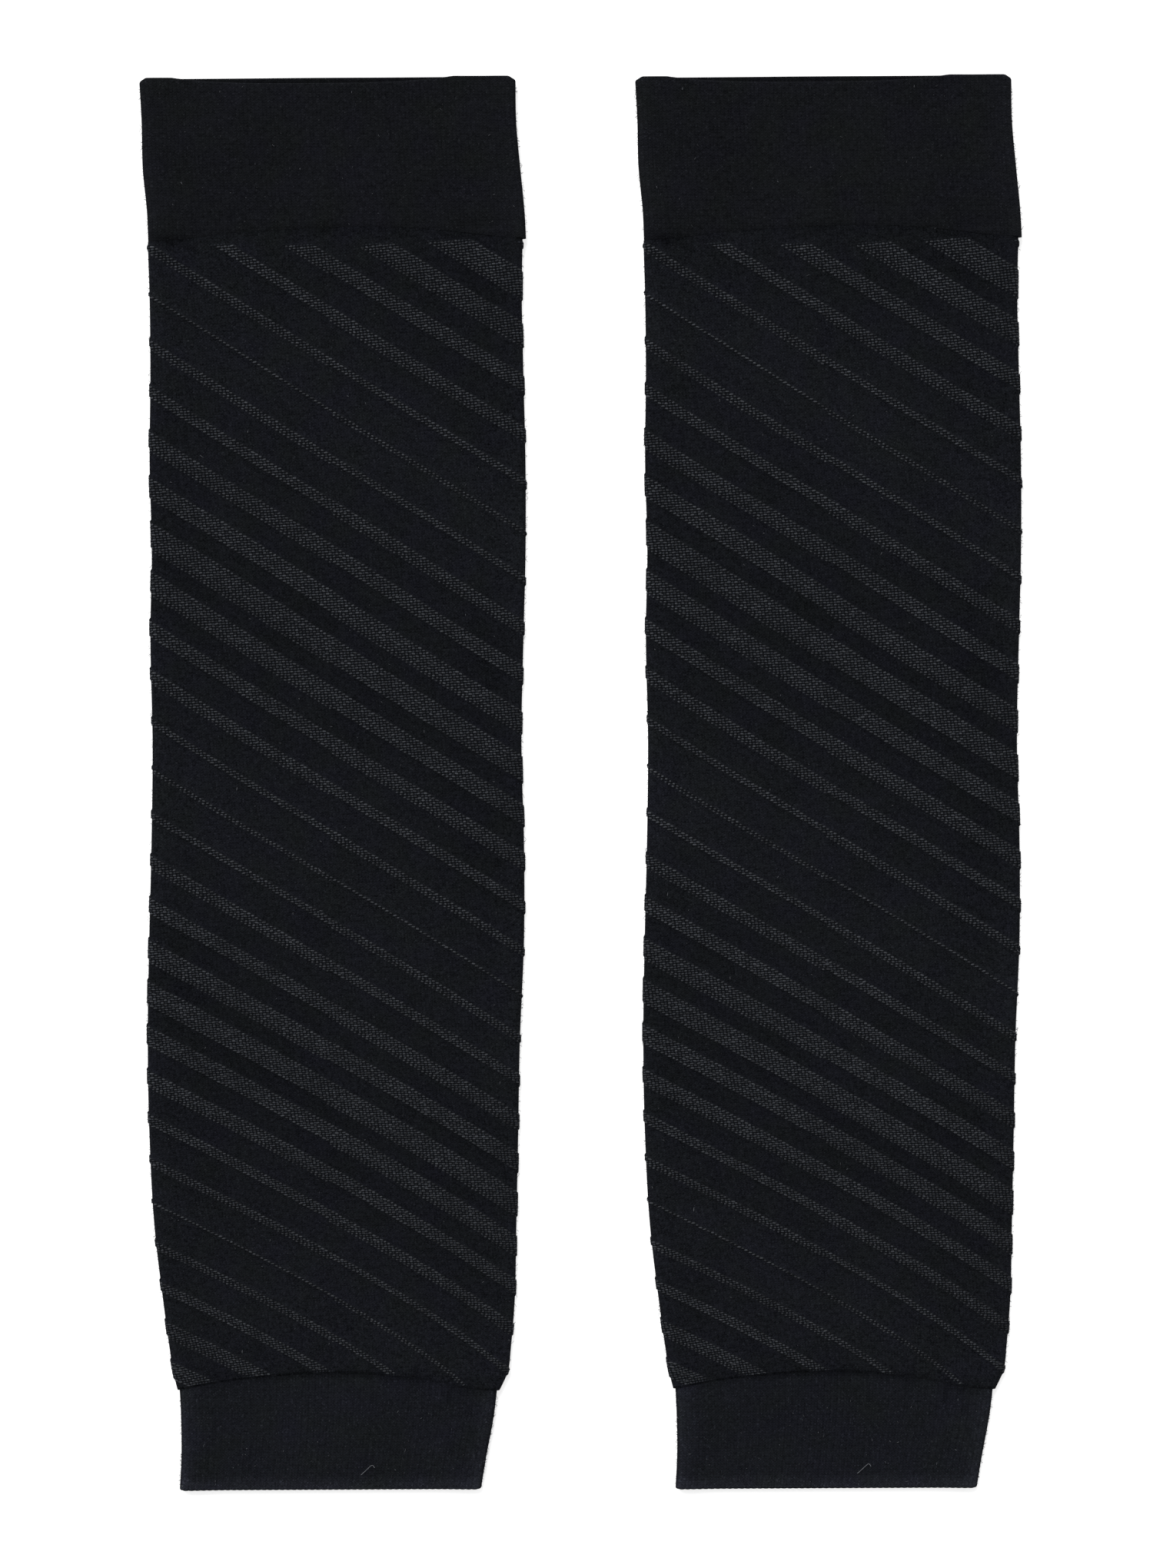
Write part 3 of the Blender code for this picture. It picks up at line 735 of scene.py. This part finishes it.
def float_places(front):
    """The turns and distances down of the floats on one side of a sleeve, and each one's kind.

    A stripe's rows of floats lie two courses apart, evenly about its middle. Along a row each
    float is one column and one course from the next. The kinds are 0 for a single float, and 1
    and 2 for the upper and the lower one of a pair.
    """
    rows = []
    for number in STRIPE_NUMBERS:
        count = 1 + from_thinnest(number)
        across = np.append(2 * np.arange(count) - count + 1, count)
        kind = np.maximum(np.arange(count + 1) - count + 2, 0)
        rows.append((number + across / STITCHES_IN_PITCH, np.full(count + 1, number), kind))
    label, number, kind = np.concatenate(rows, axis=1)[:, :, None]
    start = np.ceil(COURSES_IN_PITCH * label - COURSES_IN_TURN / 4)
    course = start + np.arange(int(COURSES_IN_TURN))
    turn = (course - COURSES_IN_PITCH * label) / COURSES_IN_TURN
    down = stripe_down(label, turn)
    keep = (down > stripes_begin(turn)) & (down < stripes_stop(turn))
    upper = (turn > -FOLD_TURN / 2) & (turn < 0.5 + FOLD_TURN / 2)
    paired = in_pairs(number, turn) & upper
    keep &= (upper == front) & (paired | (kind < 2))
    return turn[keep], down[keep], (kind * paired)[keep].astype(int)


def float_mesh(side, front, sizes, yarn):
    """The floats on one side of a sleeve: short bars of yarn that lie on the stripes.

    Each point of a bar is a place on the striped cloth, a little further along and across, and
    raised by the bar's own height there. A bar leans, so it climbs as it goes along.
    """
    turn, down, kind = (column[:, None] for column in float_places(front))
    template, corners = bar_template(FRONT_FLOAT if front else BACK_FLOAT, FLOAT_SIDES)
    draw = np.random.default_rng(yarn.seed + SIDES.index(side) + 2 * front)
    long = yarn.length * (np.take(PAIR_LONG, kind) * draw.uniform(*LONG, turn.shape))
    wide = yarn.width * draw.uniform(*WIDE, turn.shape)
    high = yarn.height * draw.uniform(*HIGH, turn.shape)
    high = high * (1 - FOLD_PRESS * fold_bell(turn, 2 * FOLD_LINE, 2 * FOLD_LINE))
    lean = np.tan(yarn.lean + draw.normal(0, LEAN_SPREAD, turn.shape))
    slip = draw.normal(0, SLIP_SPREAD, (2, *turn.shape))
    along = template[:, 0] * long + slip[0]
    across = template[:, 1] * wide - along * lean + slip[1]
    at_turn = turn - np.take(PAIR_LEFT, kind) / WALES + along / GIRTH
    raised = body_raise(turn, down, sizes, yarn) + template[:, 2] * high
    points = tube_points(BODY, at_turn, down + across, raised=raised) + place(side)
    flat = np.broadcast_to(template[:, :2] + 0.5, (*along.shape, 2))
    # Painted shade on the floats by the folds, where they turn away from the light, and a darkening
    # towards the wrist
    float_shade_and_dimming = fold_bell(turn, *FLOAT_FOLD_SHADE) + DIM_LOW * ease_in((down - DIM_FROM) / DIM_OVER)
    values = {"tone": draw.uniform(0, 1, turn.shape) + 0 * along, "float_shade_and_dimming": float_shade_and_dimming + 0 * along}
    faces = copies(corners, len(template), len(turn))
    mesh = mesh_from(f"{side}_floats", points, faces, flat, values)
    mesh.shade_smooth()
    return mesh


def copies(faces, points, count):
    """The faces of a shape that is repeated, each copy with its own points."""
    return (faces[None] + points * np.arange(count)[:, None, None]).reshape(-1, 3)


def tubes_along(name, paths, radius, tone):
    """Thin three-sided tubes along paths of points, closed with a triangle at both ends.

    Each ring's corners lie a radius from its point, across the way that the path runs there.
    """
    count, length = paths.shape[:2]
    way = np.gradient(paths, axis=1)
    way /= np.linalg.norm(way, axis=2, keepdims=True)
    aside = np.cross(way, UNLIKE_ANY_WAY)
    aside /= np.linalg.norm(aside, axis=2, keepdims=True)
    upward = np.cross(aside, way)
    angles = np.radians((90, 210, 330))
    corners = [math.cos(angle) * aside + math.sin(angle) * upward for angle in angles]
    points = paths[:, :, None] + radius * np.stack(corners, axis=2)
    ring = 3 * np.arange(length - 1)[:, None]
    side, after = np.arange(3), np.array((1, 2, 0))
    first = np.stack((ring + side, ring + 3 + side, ring + 3 + after), axis=-1).reshape(-1, 3)
    second = np.stack((ring + side, ring + 3 + after, ring + after), axis=-1).reshape(-1, 3)
    ends = np.array(((0, 1, 2), (3 * length - 1, 3 * length - 2, 3 * length - 3)))
    faces = copies(np.concatenate((first, second, ends)), 3 * length, count)
    return mesh_from(name, points, faces, values={"tone": np.repeat(tone, 3 * length)})


def fibre_mesh(side, lint):
    """Loose fibres: short ones that stand out at the folds, and specks of lint on the panels.

    A fibre runs from its root along and outwards in a straight line, bent by a parabola.
    """
    draw = np.random.default_rng(lint.seed + SIDES.index(side))
    share = np.linspace(0, 1, FIBRE_POINTS)[None, :]
    paths = []
    for tube, top, bottom, part in FIBRE_SPANS:
        for standing, total in ((True, lint.standing), (False, lint.specks)):
            column = (round(total * part), 1)
            long = draw.uniform(FIBRE_SHORTEST, 1.0, column) * (lint.reach if standing else lint.longest)
            down = draw.uniform(top, bottom, column)
            bend = draw.normal(0, FIBRE_BEND, (2, *column)) * long * share**2
            if standing:
                turn = draw.choice((0.0, 0.5), column) + draw.normal(0, FIBRE_SPREAD, column)
                way = draw.normal(0, FIBRE_SLANT, (2, *column)) * long * share
                raised = long * share - FIBRE_ROOT
            else:
                turn = draw.uniform(0, 1, column)
                angle = draw.uniform(0, 2 * np.pi, column)
                way = np.stack((np.cos(angle), np.sin(angle))) * long * share
                raised = SPECK_HIGH + SPECK_ARCH * np.sin(np.pi * share) - SPECK_UNDER * under(turn)
            at_turn = turn + (way[0] + bend[0]) / GIRTH
            paths.append(tube_points(tube, at_turn, down + way[1] + bend[1], raised=raised))
    paths = np.concatenate(paths) + place(side)
    paths[:, :, 2] = np.maximum(paths[:, :, 2], 2 * lint.thickness)
    return tubes_along(f"{side}_loose_fibres", paths, lint.thickness / 2, draw.uniform(0, 1, len(paths)))


def loose_end_mesh(side):
    """A loose end of yarn: a thin tube along its table of places, lying on the lower cuff."""
    turn, down = np.array(LOOSE_END)
    raised = LOOSE_END_HIGH + LOOSE_END_ARCH * np.sin(np.linspace(0, np.pi, len(turn)))
    path = tube_points(LOWER_CUFF, turn, down, raised=raised) + place(side)
    return tubes_along(f"{side}_loose_end", path[None], LOOSE_END_THICKNESS / 2, np.ones(1))


def sums(operation, swapped=False):
    """A method that adds a Math node for a wire and another value, in this order or swapped."""

    def method(self, *others):
        values = (*others, self) if swapped else (self, *others)
        return self.finish.node("Math", dict(enumerate(values)), operation=operation)

    return method


class Wire:
    """An output of a shader node that does sums: wire * 2 adds a Multiply node, and so on."""

    def __init__(self, finish, socket):
        self.finish = finish
        self.socket = socket

    __add__ = __radd__ = sums("ADD")
    __sub__ = sums("SUBTRACT")
    __rsub__ = sums("SUBTRACT", swapped=True)
    __mul__ = __rmul__ = sums("MULTIPLY")
    __pow__ = sums("POWER")
    __abs__ = sums("ABSOLUTE")
    at_least = sums("MAXIMUM")
    whole = sums("FLOOR")
    part = sums("FRACT")  # what is left once the whole number is taken off


class Finish:
    """A material that is being put together, with the shader's settings that are the same all over."""

    def __init__(self, name, **constants):
        self.material = bpy.data.materials.new(name)
        self.material.use_nodes = True
        self.tree = self.material.node_tree
        self.shader = self.tree.nodes["Principled BSDF"]
        self.feed(**constants)

    def node(self, kind, inputs, output=0, **settings):
        """Adds any node: its settings first, then the values or links of its sockets."""
        node = self.tree.nodes.new("ShaderNode" + kind)
        for key, value in settings.items():
            setattr(node, key, value)
        for key, value in inputs.items():
            self.join(node.inputs[key], value)
        return Wire(self, node.outputs[output])

    def join(self, socket, value):
        """Links a wire to a socket, or sets the socket to a number or colour."""
        if isinstance(value, Wire):
            self.tree.links.new(value.socket, socket)
        else:
            socket.default_value = value

    def feed(self, **values):
        """Gives values to the shader's sockets, by name with _ for a space."""
        for key, value in values.items():
            self.join(self.shader.inputs[key.replace("_", " ")], value)

    def stitches(self):
        """The column and the course of stitches that a point lies in, with its place in the stitch."""
        apart = self.node("SeparateXYZ", {0: self.node("UVMap", {}, uv_map="stitches")})
        return apart, Wire(self, apart.socket.node.outputs[1])

    def value(self, name):
        return self.node("Attribute", {}, output="Fac", attribute_name=name)

    def chance(self, wale, course):
        """A number from 0 to 1 for each stitch, with nothing to do with its neighbours'."""
        numbers = self.node("CombineXYZ", {0: wale.whole(), 1: course.whole()})
        return self.node("TexWhiteNoise", {"Vector": numbers}, noise_dimensions="2D")

    def noise(self, waves, detail=2.0):
        """Cloudy values about 0.5, with so many waves to the metre."""
        place = self.node("TexCoord", {}, output="Object")
        return self.node("TexNoise", {"Vector": place, "Scale": waves, "Detail": detail})

    def mix(self, share, first, second, blend="MIX"):
        """A colour between two others, or the second blended into the first."""
        colours = {0: share, 6: opaque(first), 7: opaque(second)}
        return self.node("Mix", colours, output=2, data_type="RGBA", blend_type=blend)

    def shaded(self, colour, amount):
        """A colour made lighter or darker by a number that varies."""
        grey = self.node("CombineColor", {0: amount, 1: amount, 2: amount})
        return self.mix(1.0, colour, grey, "MULTIPLY")

    def bump(self, height, distance):
        return self.node("Bump", {"Height": height, "Distance": distance})


def opaque(colour):
    """A colour with its fourth value, or a wire as it is."""
    return colour if isinstance(colour, Wire) else (*colour, 1.0)


LEG_LEAN = 0.75  # how many courses a stitch's legs climb from the middle of their column
FURROW = 4  # how sharp the furrow between two columns is
BITS_ACROSS = 3  # bits that a stitch is split into for the flecks, and how rare bright ones are
BITS_DOWN = 2
FLECK_RARITY = 24
KNIT_LIGHT = 0.67  # the least light of a stitch, and what each kind of unevenness adds to it; the legs' share is painted shade of the stitch relief, and the creases and the tube's inside take painted shade
LEG_LIGHT = 0.40
CLOUD_LIGHT = 0.28
STITCH_LIGHT = 0.34
YARN_LIGHT = 1.4
PAINTED_CREASE_SHADE = 0.14
PAINTED_INSIDE_SHADE = 0.25
YARN_HIGH = 0.6  # how high the yarn's unevenness is against a stitch's leg
KNIT_RELIEF = 0.00010
FLOAT_RELIEF = 0.00004
LOOP_LONG = 0.40  # half a loop's length in columns and half its width in courses
LOOP_WIDE = 0.34
LOOP_LEAN = 0.25
HOLE_LIGHT = 0.61  # the light of the holes between the loops, which is painted shade, and of a loop on top of that
LOOP_LIGHT = 3.5
CROWD_LIGHT = 1.08  # the light of the ground between thin stripes, and how much is lost between wide ones
CROWD_DARK = 0.20
FURROW_LIGHT = 0.955  # the light of a furrow, painted darker as shade, and what a rib and the ribs' end add to it
RIB_LIGHT = 0.06
END_LIGHT = 0.72
FLOAT_LIGHT = 0.60  # the light of the darkest float, and what its tone, its grain and its painted shade change
TONE_LIGHT = 0.62
GRAIN_LIGHT = 0.7
PAINTED_FLOAT_SHADE = 0.38
LINT_DARK = 0.30  # the light of most fibres, what a bright one adds to it, and how rare those are
LINT_LIGHT = 3.0
LINT_RARITY = 5
BLUER = (1.02, 0.97, 1.13)  # the yarn's colour drifts between these two
GREENER = (0.98, 1.03, 0.88)
DULL = {"Roughness": 0.95, "Specular_IOR_Level": 0.0, "Sheen_Weight": 0.008, "Sheen_Roughness": 0.6}


def tinted(colour, tint):
    """A colour whose red, green and blue are each multiplied by the tint's."""
    return [value * share for value, share in zip(colour, tint)]


def jersey(finish, colour, wear_and_sheen, flecks, grain):
    """Plain knit in a colour, and its height.

    Each stitch has two legs that lean apart, so their place along the column runs on with the
    distance from its middle. A leg is a triangle wave of that place, and it dies away into the
    furrow between two columns as a power of that distance; this is painted shade of the stitch
    relief, lighter on the legs and darker in the furrows. wear_and_sheen is how much paler the
    folds are, partly wear and partly painted sheen, flecks how bright the few shining bits of
    stitches are, and grain how uneven the yarn is.
    """
    wale, course = finish.stitches()
    off = abs(wale.part() * 2 - 1)
    leg = 1 - abs((course + off * LEG_LEAN).part() * 2 - 1)
    stitch = leg * (1 - off**FURROW)
    each = finish.chance(wale, course)
    bit = finish.chance(wale * BITS_ACROSS, course * BITS_DOWN)
    uneven = finish.noise(waves=2100.0, detail=1.0)
    cloudy = finish.noise(waves=45.0, detail=3.0)
    light = KNIT_LIGHT + stitch * LEG_LIGHT + bit**FLECK_RARITY * flecks + (cloudy - 0.5) * CLOUD_LIGHT
    light = light + (each - 0.5) * STITCH_LIGHT * grain + (uneven - 0.5) * YARN_LIGHT * grain
    # Painted shade: darker in the creases and lighter on the ridges, darker by the seams, along the folds
    # and on the tube's inside; the folds are also paler, partly wear and partly painted sheen
    shade = 1 - finish.value("crease_shade") * PAINTED_CREASE_SHADE - finish.value("seam")
    worn_and_lit = 1 + finish.value("fold") * wear_and_sheen
    inside = 1 - finish.value("inside") * PAINTED_INSIDE_SHADE
    drift = finish.noise(waves=140.0, detail=0.0)
    tint = finish.mix(drift, tinted(colour, GREENER), tinted(colour, BLUER))
    return finish.shaded(tint, light * shade * worn_and_lit * inside), stitch + uneven * YARN_HIGH


def float_bed(finish, colour):
    """The cloth between the floats: a small leaning loop in each stitch, with painted shade in the holes
    between.

    A loop's light is one less the squares of the distances along and across it, as shares of
    half its length and width.
    """
    wale, course = finish.stitches()
    across = (course + 0.5).part() - 0.5
    along = (wale + 0.5 + across * LOOP_LEAN).part() - 0.5
    loop = 1 - (along * (1 / LOOP_LONG)) ** 2 - (across * (1 / LOOP_WIDE)) ** 2
    each = finish.chance(wale + 0.5, course + 0.5)
    return finish.shaded(colour, HOLE_LIGHT + loop.at_least(0) * (each + 0.5) * LOOP_LIGHT)


def cuff_finish(colours):
    """Plain jersey all over."""
    finish = Finish("cuff_jersey", **DULL)
    colour, height = jersey(finish, colours.cuff, wear_and_sheen=0.20, flecks=0.8, grain=0.70)
    finish.feed(Base_Color=colour, Normal=finish.bump(height, KNIT_RELIEF))
    return finish.material


def body_finish(colours):
    """Jersey that is darker between the wide stripes, with the floats' bed on the stripes."""
    finish = Finish("striped_jersey", **DULL)
    ground, height = jersey(finish, colours.ground, wear_and_sheen=0.16, flecks=0.8, grain=1.0)
    crowded = CROWD_LIGHT - finish.value("crowding") * CROWD_DARK
    bed = float_bed(finish, colours.between)
    colour = finish.mix(finish.value("stripe"), finish.shaded(ground, crowded), bed)
    finish.feed(Base_Color=colour, Normal=finish.bump(height, KNIT_RELIEF))
    return finish.material


def rib_finish(colours):
    """Jersey with painted shade in the ribs' furrows, lighter on the ribs, and lighter still by their
    end.
    """
    finish = Finish("ribbed_knit", **DULL)
    colour, height = jersey(finish, colours.rib, wear_and_sheen=0.49, flecks=1.0, grain=0.68)
    on_rib = FURROW_LIGHT + finish.value("rib") * RIB_LIGHT + finish.value("end") * END_LIGHT
    finish.feed(Base_Color=finish.shaded(colour, on_rib), Normal=finish.bump(height, KNIT_RELIEF))
    return finish.material


def float_finish(colours):
    """Pale yarn, which differs from float to float, with painted shade by the folds and darker towards
    the wrist.
    """
    finish = Finish("float_yarn", Roughness=0.8, Specular_IOR_Level=0.08, Sheen_Weight=0.01)
    grain = finish.noise(waves=2500.0, detail=1.0)
    cloudy = finish.noise(waves=70.0, detail=1.0)
    light = FLOAT_LIGHT + finish.value("tone") * TONE_LIGHT
    light = light + (grain - 0.5) * GRAIN_LIGHT + (cloudy - 0.5) * GRAIN_LIGHT
    colour = finish.shaded(colours.float_yarn, light * (1 - finish.value("float_shade_and_dimming") * PAINTED_FLOAT_SHADE))
    finish.feed(Base_Color=colour, Normal=finish.bump(grain, FLOAT_RELIEF))
    return finish.material


def lint_finish(colours):
    """Mostly dark fibres with a few bright ones, by a high power of their tone."""
    finish = Finish("loose_fibres", Roughness=0.9, Specular_IOR_Level=0.1)
    light = LINT_DARK + finish.value("tone") ** LINT_RARITY * LINT_LIGHT
    finish.feed(Base_Color=finish.shaded(colours.lint, light))
    return finish.material


Length = partial(FloatProperty, min=0.0, precision=5, unit="LENGTH")
Angle = partial(FloatProperty, min=0.0, max=math.pi, subtype="ANGLE")
Amount = partial(FloatProperty, min=0.0)
Count = partial(IntProperty, min=0)
Colour = partial(FloatVectorProperty, size=3, min=0.0, max=1.0, subtype="COLOR")


class SleeveSizes(bpy.types.PropertyGroup):
    """Sizes of the knitted relief, and how finely it is modelled."""

    stripe_raise: Length(name="Stripes", description="How far they stand up", default=0.0003)
    rib_raise: Length(name="Ribs", description="How far they stand above their furrows", default=0.00013)
    panel_step: Length(name="Panel step", description="Between mesh columns", default=0.0016, min=0.0005)
    row_step: Length(name="Row step", description="Between mesh rows", default=0.0018, min=0.0005)
    fold_steps: Count(name="Fold steps", description="Mesh columns round a side fold", default=10, min=4)
    rib_steps: Count(name="Rib steps", description="Mesh columns for each rib", default=8, min=4)


class FloatSizes(bpy.types.PropertyGroup):
    """The floats of yarn that make the stripes."""

    length: Length(name="Length", description="Length of one float", default=0.00112)
    width: Length(name="Width", description="Width of one float", default=0.00052)
    height: Length(name="Height", description="How far it stands above its stripe", default=0.00018)
    lean: Angle(name="Lean", description="How steeply it climbs on its course", default=math.radians(1))
    seed: Count(name="Seed", description="Sets the floats' unevenness", default=7)


class LintSizes(bpy.types.PropertyGroup):
    """The loose fibres and specks of lint."""

    standing: Count(name="Fibres", description="How many stand out from a sleeve's folds", default=700)
    specks: Count(name="Specks", description="How many lie on a sleeve", default=1700)
    reach: Length(name="Fibre length", description="The longest one at the folds", default=0.0008)
    longest: Length(name="Speck length", description="The longest speck of lint", default=0.0005)
    thickness: Length(name="Thickness", description="Thickness of a fibre", default=0.00010)
    seed: Count(name="Seed", description="Sets where the fibres lie", default=21)


class KnitColours(bpy.types.PropertyGroup):
    """Colours of the yarns."""

    cuff: Colour(name="Upper cuff", description="The double cuff", default=(0.0101, 0.0109, 0.0131))
    ground: Colour(name="Ground", description="Between the stripes", default=(0.0103, 0.0113, 0.0140))
    rib: Colour(name="Ribs", description="The ribbed cuff", default=(0.0121, 0.0133, 0.0167))
    float_yarn: Colour(name="Floats", description="The stripes' yarn", default=(0.0553, 0.0592, 0.0668))
    between: Colour(name="Bed", description="Between the floats", default=(0.0095, 0.0105, 0.0126))
    lint: Colour(name="Lint", description="The loose fibres", default=(0.060, 0.062, 0.068))


class StageLook(bpy.types.PropertyGroup):
    """The table, the light and the camera."""

    table: Colour(name="Table", description="Its colour", default=(0.90, 0.90, 0.90))
    table_glow: Amount(name="Table glow", description="Light that the table gives out", default=0.60)
    key_light: Amount(name="Key light", description="Strength of the soft light", default=1.9)
    key_spread: Angle(name="Spread", description="How wide that light looks", default=math.radians(35))
    room_light: Amount(name="Room light", description="Brightness of the white room", default=0.45)
    lens: Amount(name="Lens", description="Focal length in millimetres", default=100.0, min=20.0)


VIEW_HEIGHT = 0.4217  # how much of the table the picture shows, from top to bottom
VIEW_MIDDLE = (-0.0012, -0.0006)
LOOK_HEIGHT = 0.0020  # of the folds' widest part above the table
SENSOR = 36.0  # millimetres along the picture's longer side
KEY_FROM = (-0.30, 0.62, 0.80)  # the way to the soft light
TABLE_SIZE = 8.0
TABLE_POINTS = 9  # along each side
TABLE_GAP = 0.00002  # between it and the cloth
TABLE_LIGHT = 0.985  # the least light of its colour, and what the speckles add
SPECKLE_LIGHT = 0.03
WHITE = (1.0, 1.0, 1.0, 1.0)


def table_finish(look):
    """A smooth white that gives out some light, with faint speckles."""
    finish = Finish(
        "white_table", Roughness=0.7, Specular_IOR_Level=0.2,
        Emission_Strength=look.table_glow, Emission_Color=WHITE,
    )
    speckle = finish.noise(waves=180.0)
    finish.feed(Base_Color=finish.shaded(look.table, TABLE_LIGHT + speckle * SPECKLE_LIGHT))
    return finish.material


class ARMSLEEVES_OT_stage(bpy.types.Operator):
    """Lays out the white table, the soft light and the camera straight above the pair"""

    bl_idname = "arm_sleeves.stage"
    bl_label = "Table, light and camera"

    def execute(self, context):
        look = context.scene.sleeve_stage
        side = np.linspace(-TABLE_SIZE / 2, TABLE_SIZE / 2, TABLE_POINTS)
        x, y = np.meshgrid(side, -side)
        points = np.stack((x, y, np.full(x.shape, -TABLE_GAP)), axis=-1)
        mesh = mesh_from("table_top", points, grid_faces(x.shape))
        mesh.materials.append(table_finish(look))
        put("table_top", mesh)
        self.add_light(context, look)
        self.add_camera(context, look)
        return {"FINISHED"}

    def add_light(self, context, look):
        """A large soft light from the top left, in a white room."""
        light = bpy.data.lights.new("soft_light", "SUN")
        light.energy = look.key_light
        light.angle = look.key_spread
        lamp = put("soft_light", light)
        lamp.rotation_mode = "QUATERNION"
        lamp.rotation_quaternion = Vector(KEY_FROM).to_track_quat("Z", "Y")
        lamp.location = KEY_FROM
        room = bpy.data.worlds.new("white_room")
        room.use_nodes = True
        background = room.node_tree.nodes["Background"]
        background.inputs["Color"].default_value = WHITE
        background.inputs["Strength"].default_value = look.room_light
        context.scene.world = room
        context.scene.view_settings.view_transform = "Standard"

    def add_camera(self, context, look):
        """The picture's height over the sensor's, times the focal length, is the camera's height."""
        camera = bpy.data.cameras.new("camera")
        camera.lens = look.lens
        camera.sensor_width = SENSOR
        camera.dof.use_dof = False
        eye = put("camera", camera)
        eye.location = (*VIEW_MIDDLE, LOOK_HEIGHT + VIEW_HEIGHT * look.lens / SENSOR)
        context.scene.camera = eye


def knit(side, kind, node, mesh, finish):
    """Shows a knitted piece in the place of its CAD node."""
    piece = show(f"{side}_{kind}", mesh, finish)
    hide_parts(f"{side}_{node}")
    return piece


class ARMSLEEVES_OT_upper_cuffs(bpy.types.Operator):
    """Makes the plain double cuff at the top of each sleeve"""

    bl_idname = "arm_sleeves.upper_cuffs"
    bl_label = "Upper cuffs"

    def execute(self, context):
        finish = cuff_finish(context.scene.sleeve_colours)
        for side in SIDES:
            mesh = upper_cuff_mesh(side, context.scene.sleeve_sizes)
            piece = knit(side, "cuff_knit", "upper_cuff", mesh, finish)
        return {"FINISHED"}


class ARMSLEEVES_OT_bodies(bpy.types.Operator):
    """Makes the body of each sleeve, with its raised stripes"""

    bl_idname = "arm_sleeves.bodies"
    bl_label = "Sleeve bodies"

    def execute(self, context):
        scene = context.scene
        finish = body_finish(scene.sleeve_colours)
        for side in SIDES:
            mesh = body_mesh(side, scene.sleeve_sizes, scene.sleeve_floats)
            knit(side, "striped_knit", "sleeve_body", mesh, finish)
        return {"FINISHED"}


class ARMSLEEVES_OT_floats(bpy.types.Operator):
    """Lays the floats of lighter yarn on the stripes, front and back"""

    bl_idname = "arm_sleeves.floats"
    bl_label = "Stripe floats"

    def execute(self, context):
        scene = context.scene
        finish = float_finish(scene.sleeve_colours)
        for side in SIDES:
            for face in ("front", "back"):
                mesh = float_mesh(side, face == "front", scene.sleeve_sizes, scene.sleeve_floats)
                piece = show(f"{side}_{face}_floats", mesh, finish)
        return {"FINISHED"}


class ARMSLEEVES_OT_loose_fibres(bpy.types.Operator):
    """Scatters loose fibres and lint over each sleeve, and lays the loose end on its lower cuff"""

    bl_idname = "arm_sleeves.loose_fibres"
    bl_label = "Loose fibres"

    def execute(self, context):
        finish = lint_finish(context.scene.sleeve_colours)
        for side in SIDES:
            mesh = fibre_mesh(side, context.scene.sleeve_lint)
            piece = show(f"{side}_loose_fibres", mesh, finish)
            end = show(f"{side}_loose_end", loose_end_mesh(side), finish)
        return {"FINISHED"}


class ARMSLEEVES_OT_lower_cuffs(bpy.types.Operator):
    """Makes the ribbed cuff at the wrist end of each sleeve"""

    bl_idname = "arm_sleeves.lower_cuffs"
    bl_label = "Lower cuffs"

    def execute(self, context):
        finish = rib_finish(context.scene.sleeve_colours)
        for side in SIDES:
            mesh = lower_cuff_mesh(side, context.scene.sleeve_sizes)
            piece = knit(side, "rib_knit", "lower_cuff", mesh, finish)
        return {"FINISHED"}


class ARMSLEEVES_PT_sidebar(bpy.types.Panel):
    """Lists the pieces to make, and the sizes and colours to change"""

    bl_idname = "ARMSLEEVES_PT_sidebar"
    bl_label = "Arm sleeves"
    bl_space_type = "VIEW_3D"
    bl_region_type = "UI"
    bl_category = "Arm sleeves"

    def draw(self, context):
        for operator in OPERATORS:
            self.layout.operator(operator.bl_idname)
        for key, group in GROUPS.items():
            box = self.layout.box()
            for field in group.__annotations__:
                box.prop(getattr(context.scene, key), field)


GROUPS = {
    "sleeve_sizes": SleeveSizes,
    "sleeve_floats": FloatSizes,
    "sleeve_lint": LintSizes,
    "sleeve_colours": KnitColours,
    "sleeve_stage": StageLook,
}
OPERATORS = (
    ARMSLEEVES_OT_stage,
    ARMSLEEVES_OT_upper_cuffs,
    ARMSLEEVES_OT_bodies,
    ARMSLEEVES_OT_lower_cuffs,
    ARMSLEEVES_OT_floats,
    ARMSLEEVES_OT_loose_fibres,
)


def register():
    for group in (*GROUPS.values(), *OPERATORS, ARMSLEEVES_PT_sidebar):
        bpy.utils.register_class(group)
    for key, group in GROUPS.items():
        setattr(bpy.types.Scene, key, PointerProperty(type=group))


def unregister():
    for key in GROUPS:
        delattr(bpy.types.Scene, key)
    for group in (ARMSLEEVES_PT_sidebar, *OPERATORS, *GROUPS.values()):
        bpy.utils.unregister_class(group)


def main():
    """Makes every piece."""
    register()
    bpy.ops.arm_sleeves.stage()
    bpy.ops.arm_sleeves.upper_cuffs()
    bpy.ops.arm_sleeves.bodies()
    bpy.ops.arm_sleeves.lower_cuffs()
    bpy.ops.arm_sleeves.floats()
    bpy.ops.arm_sleeves.loose_fibres()


if __name__ == "__main__":
    main()
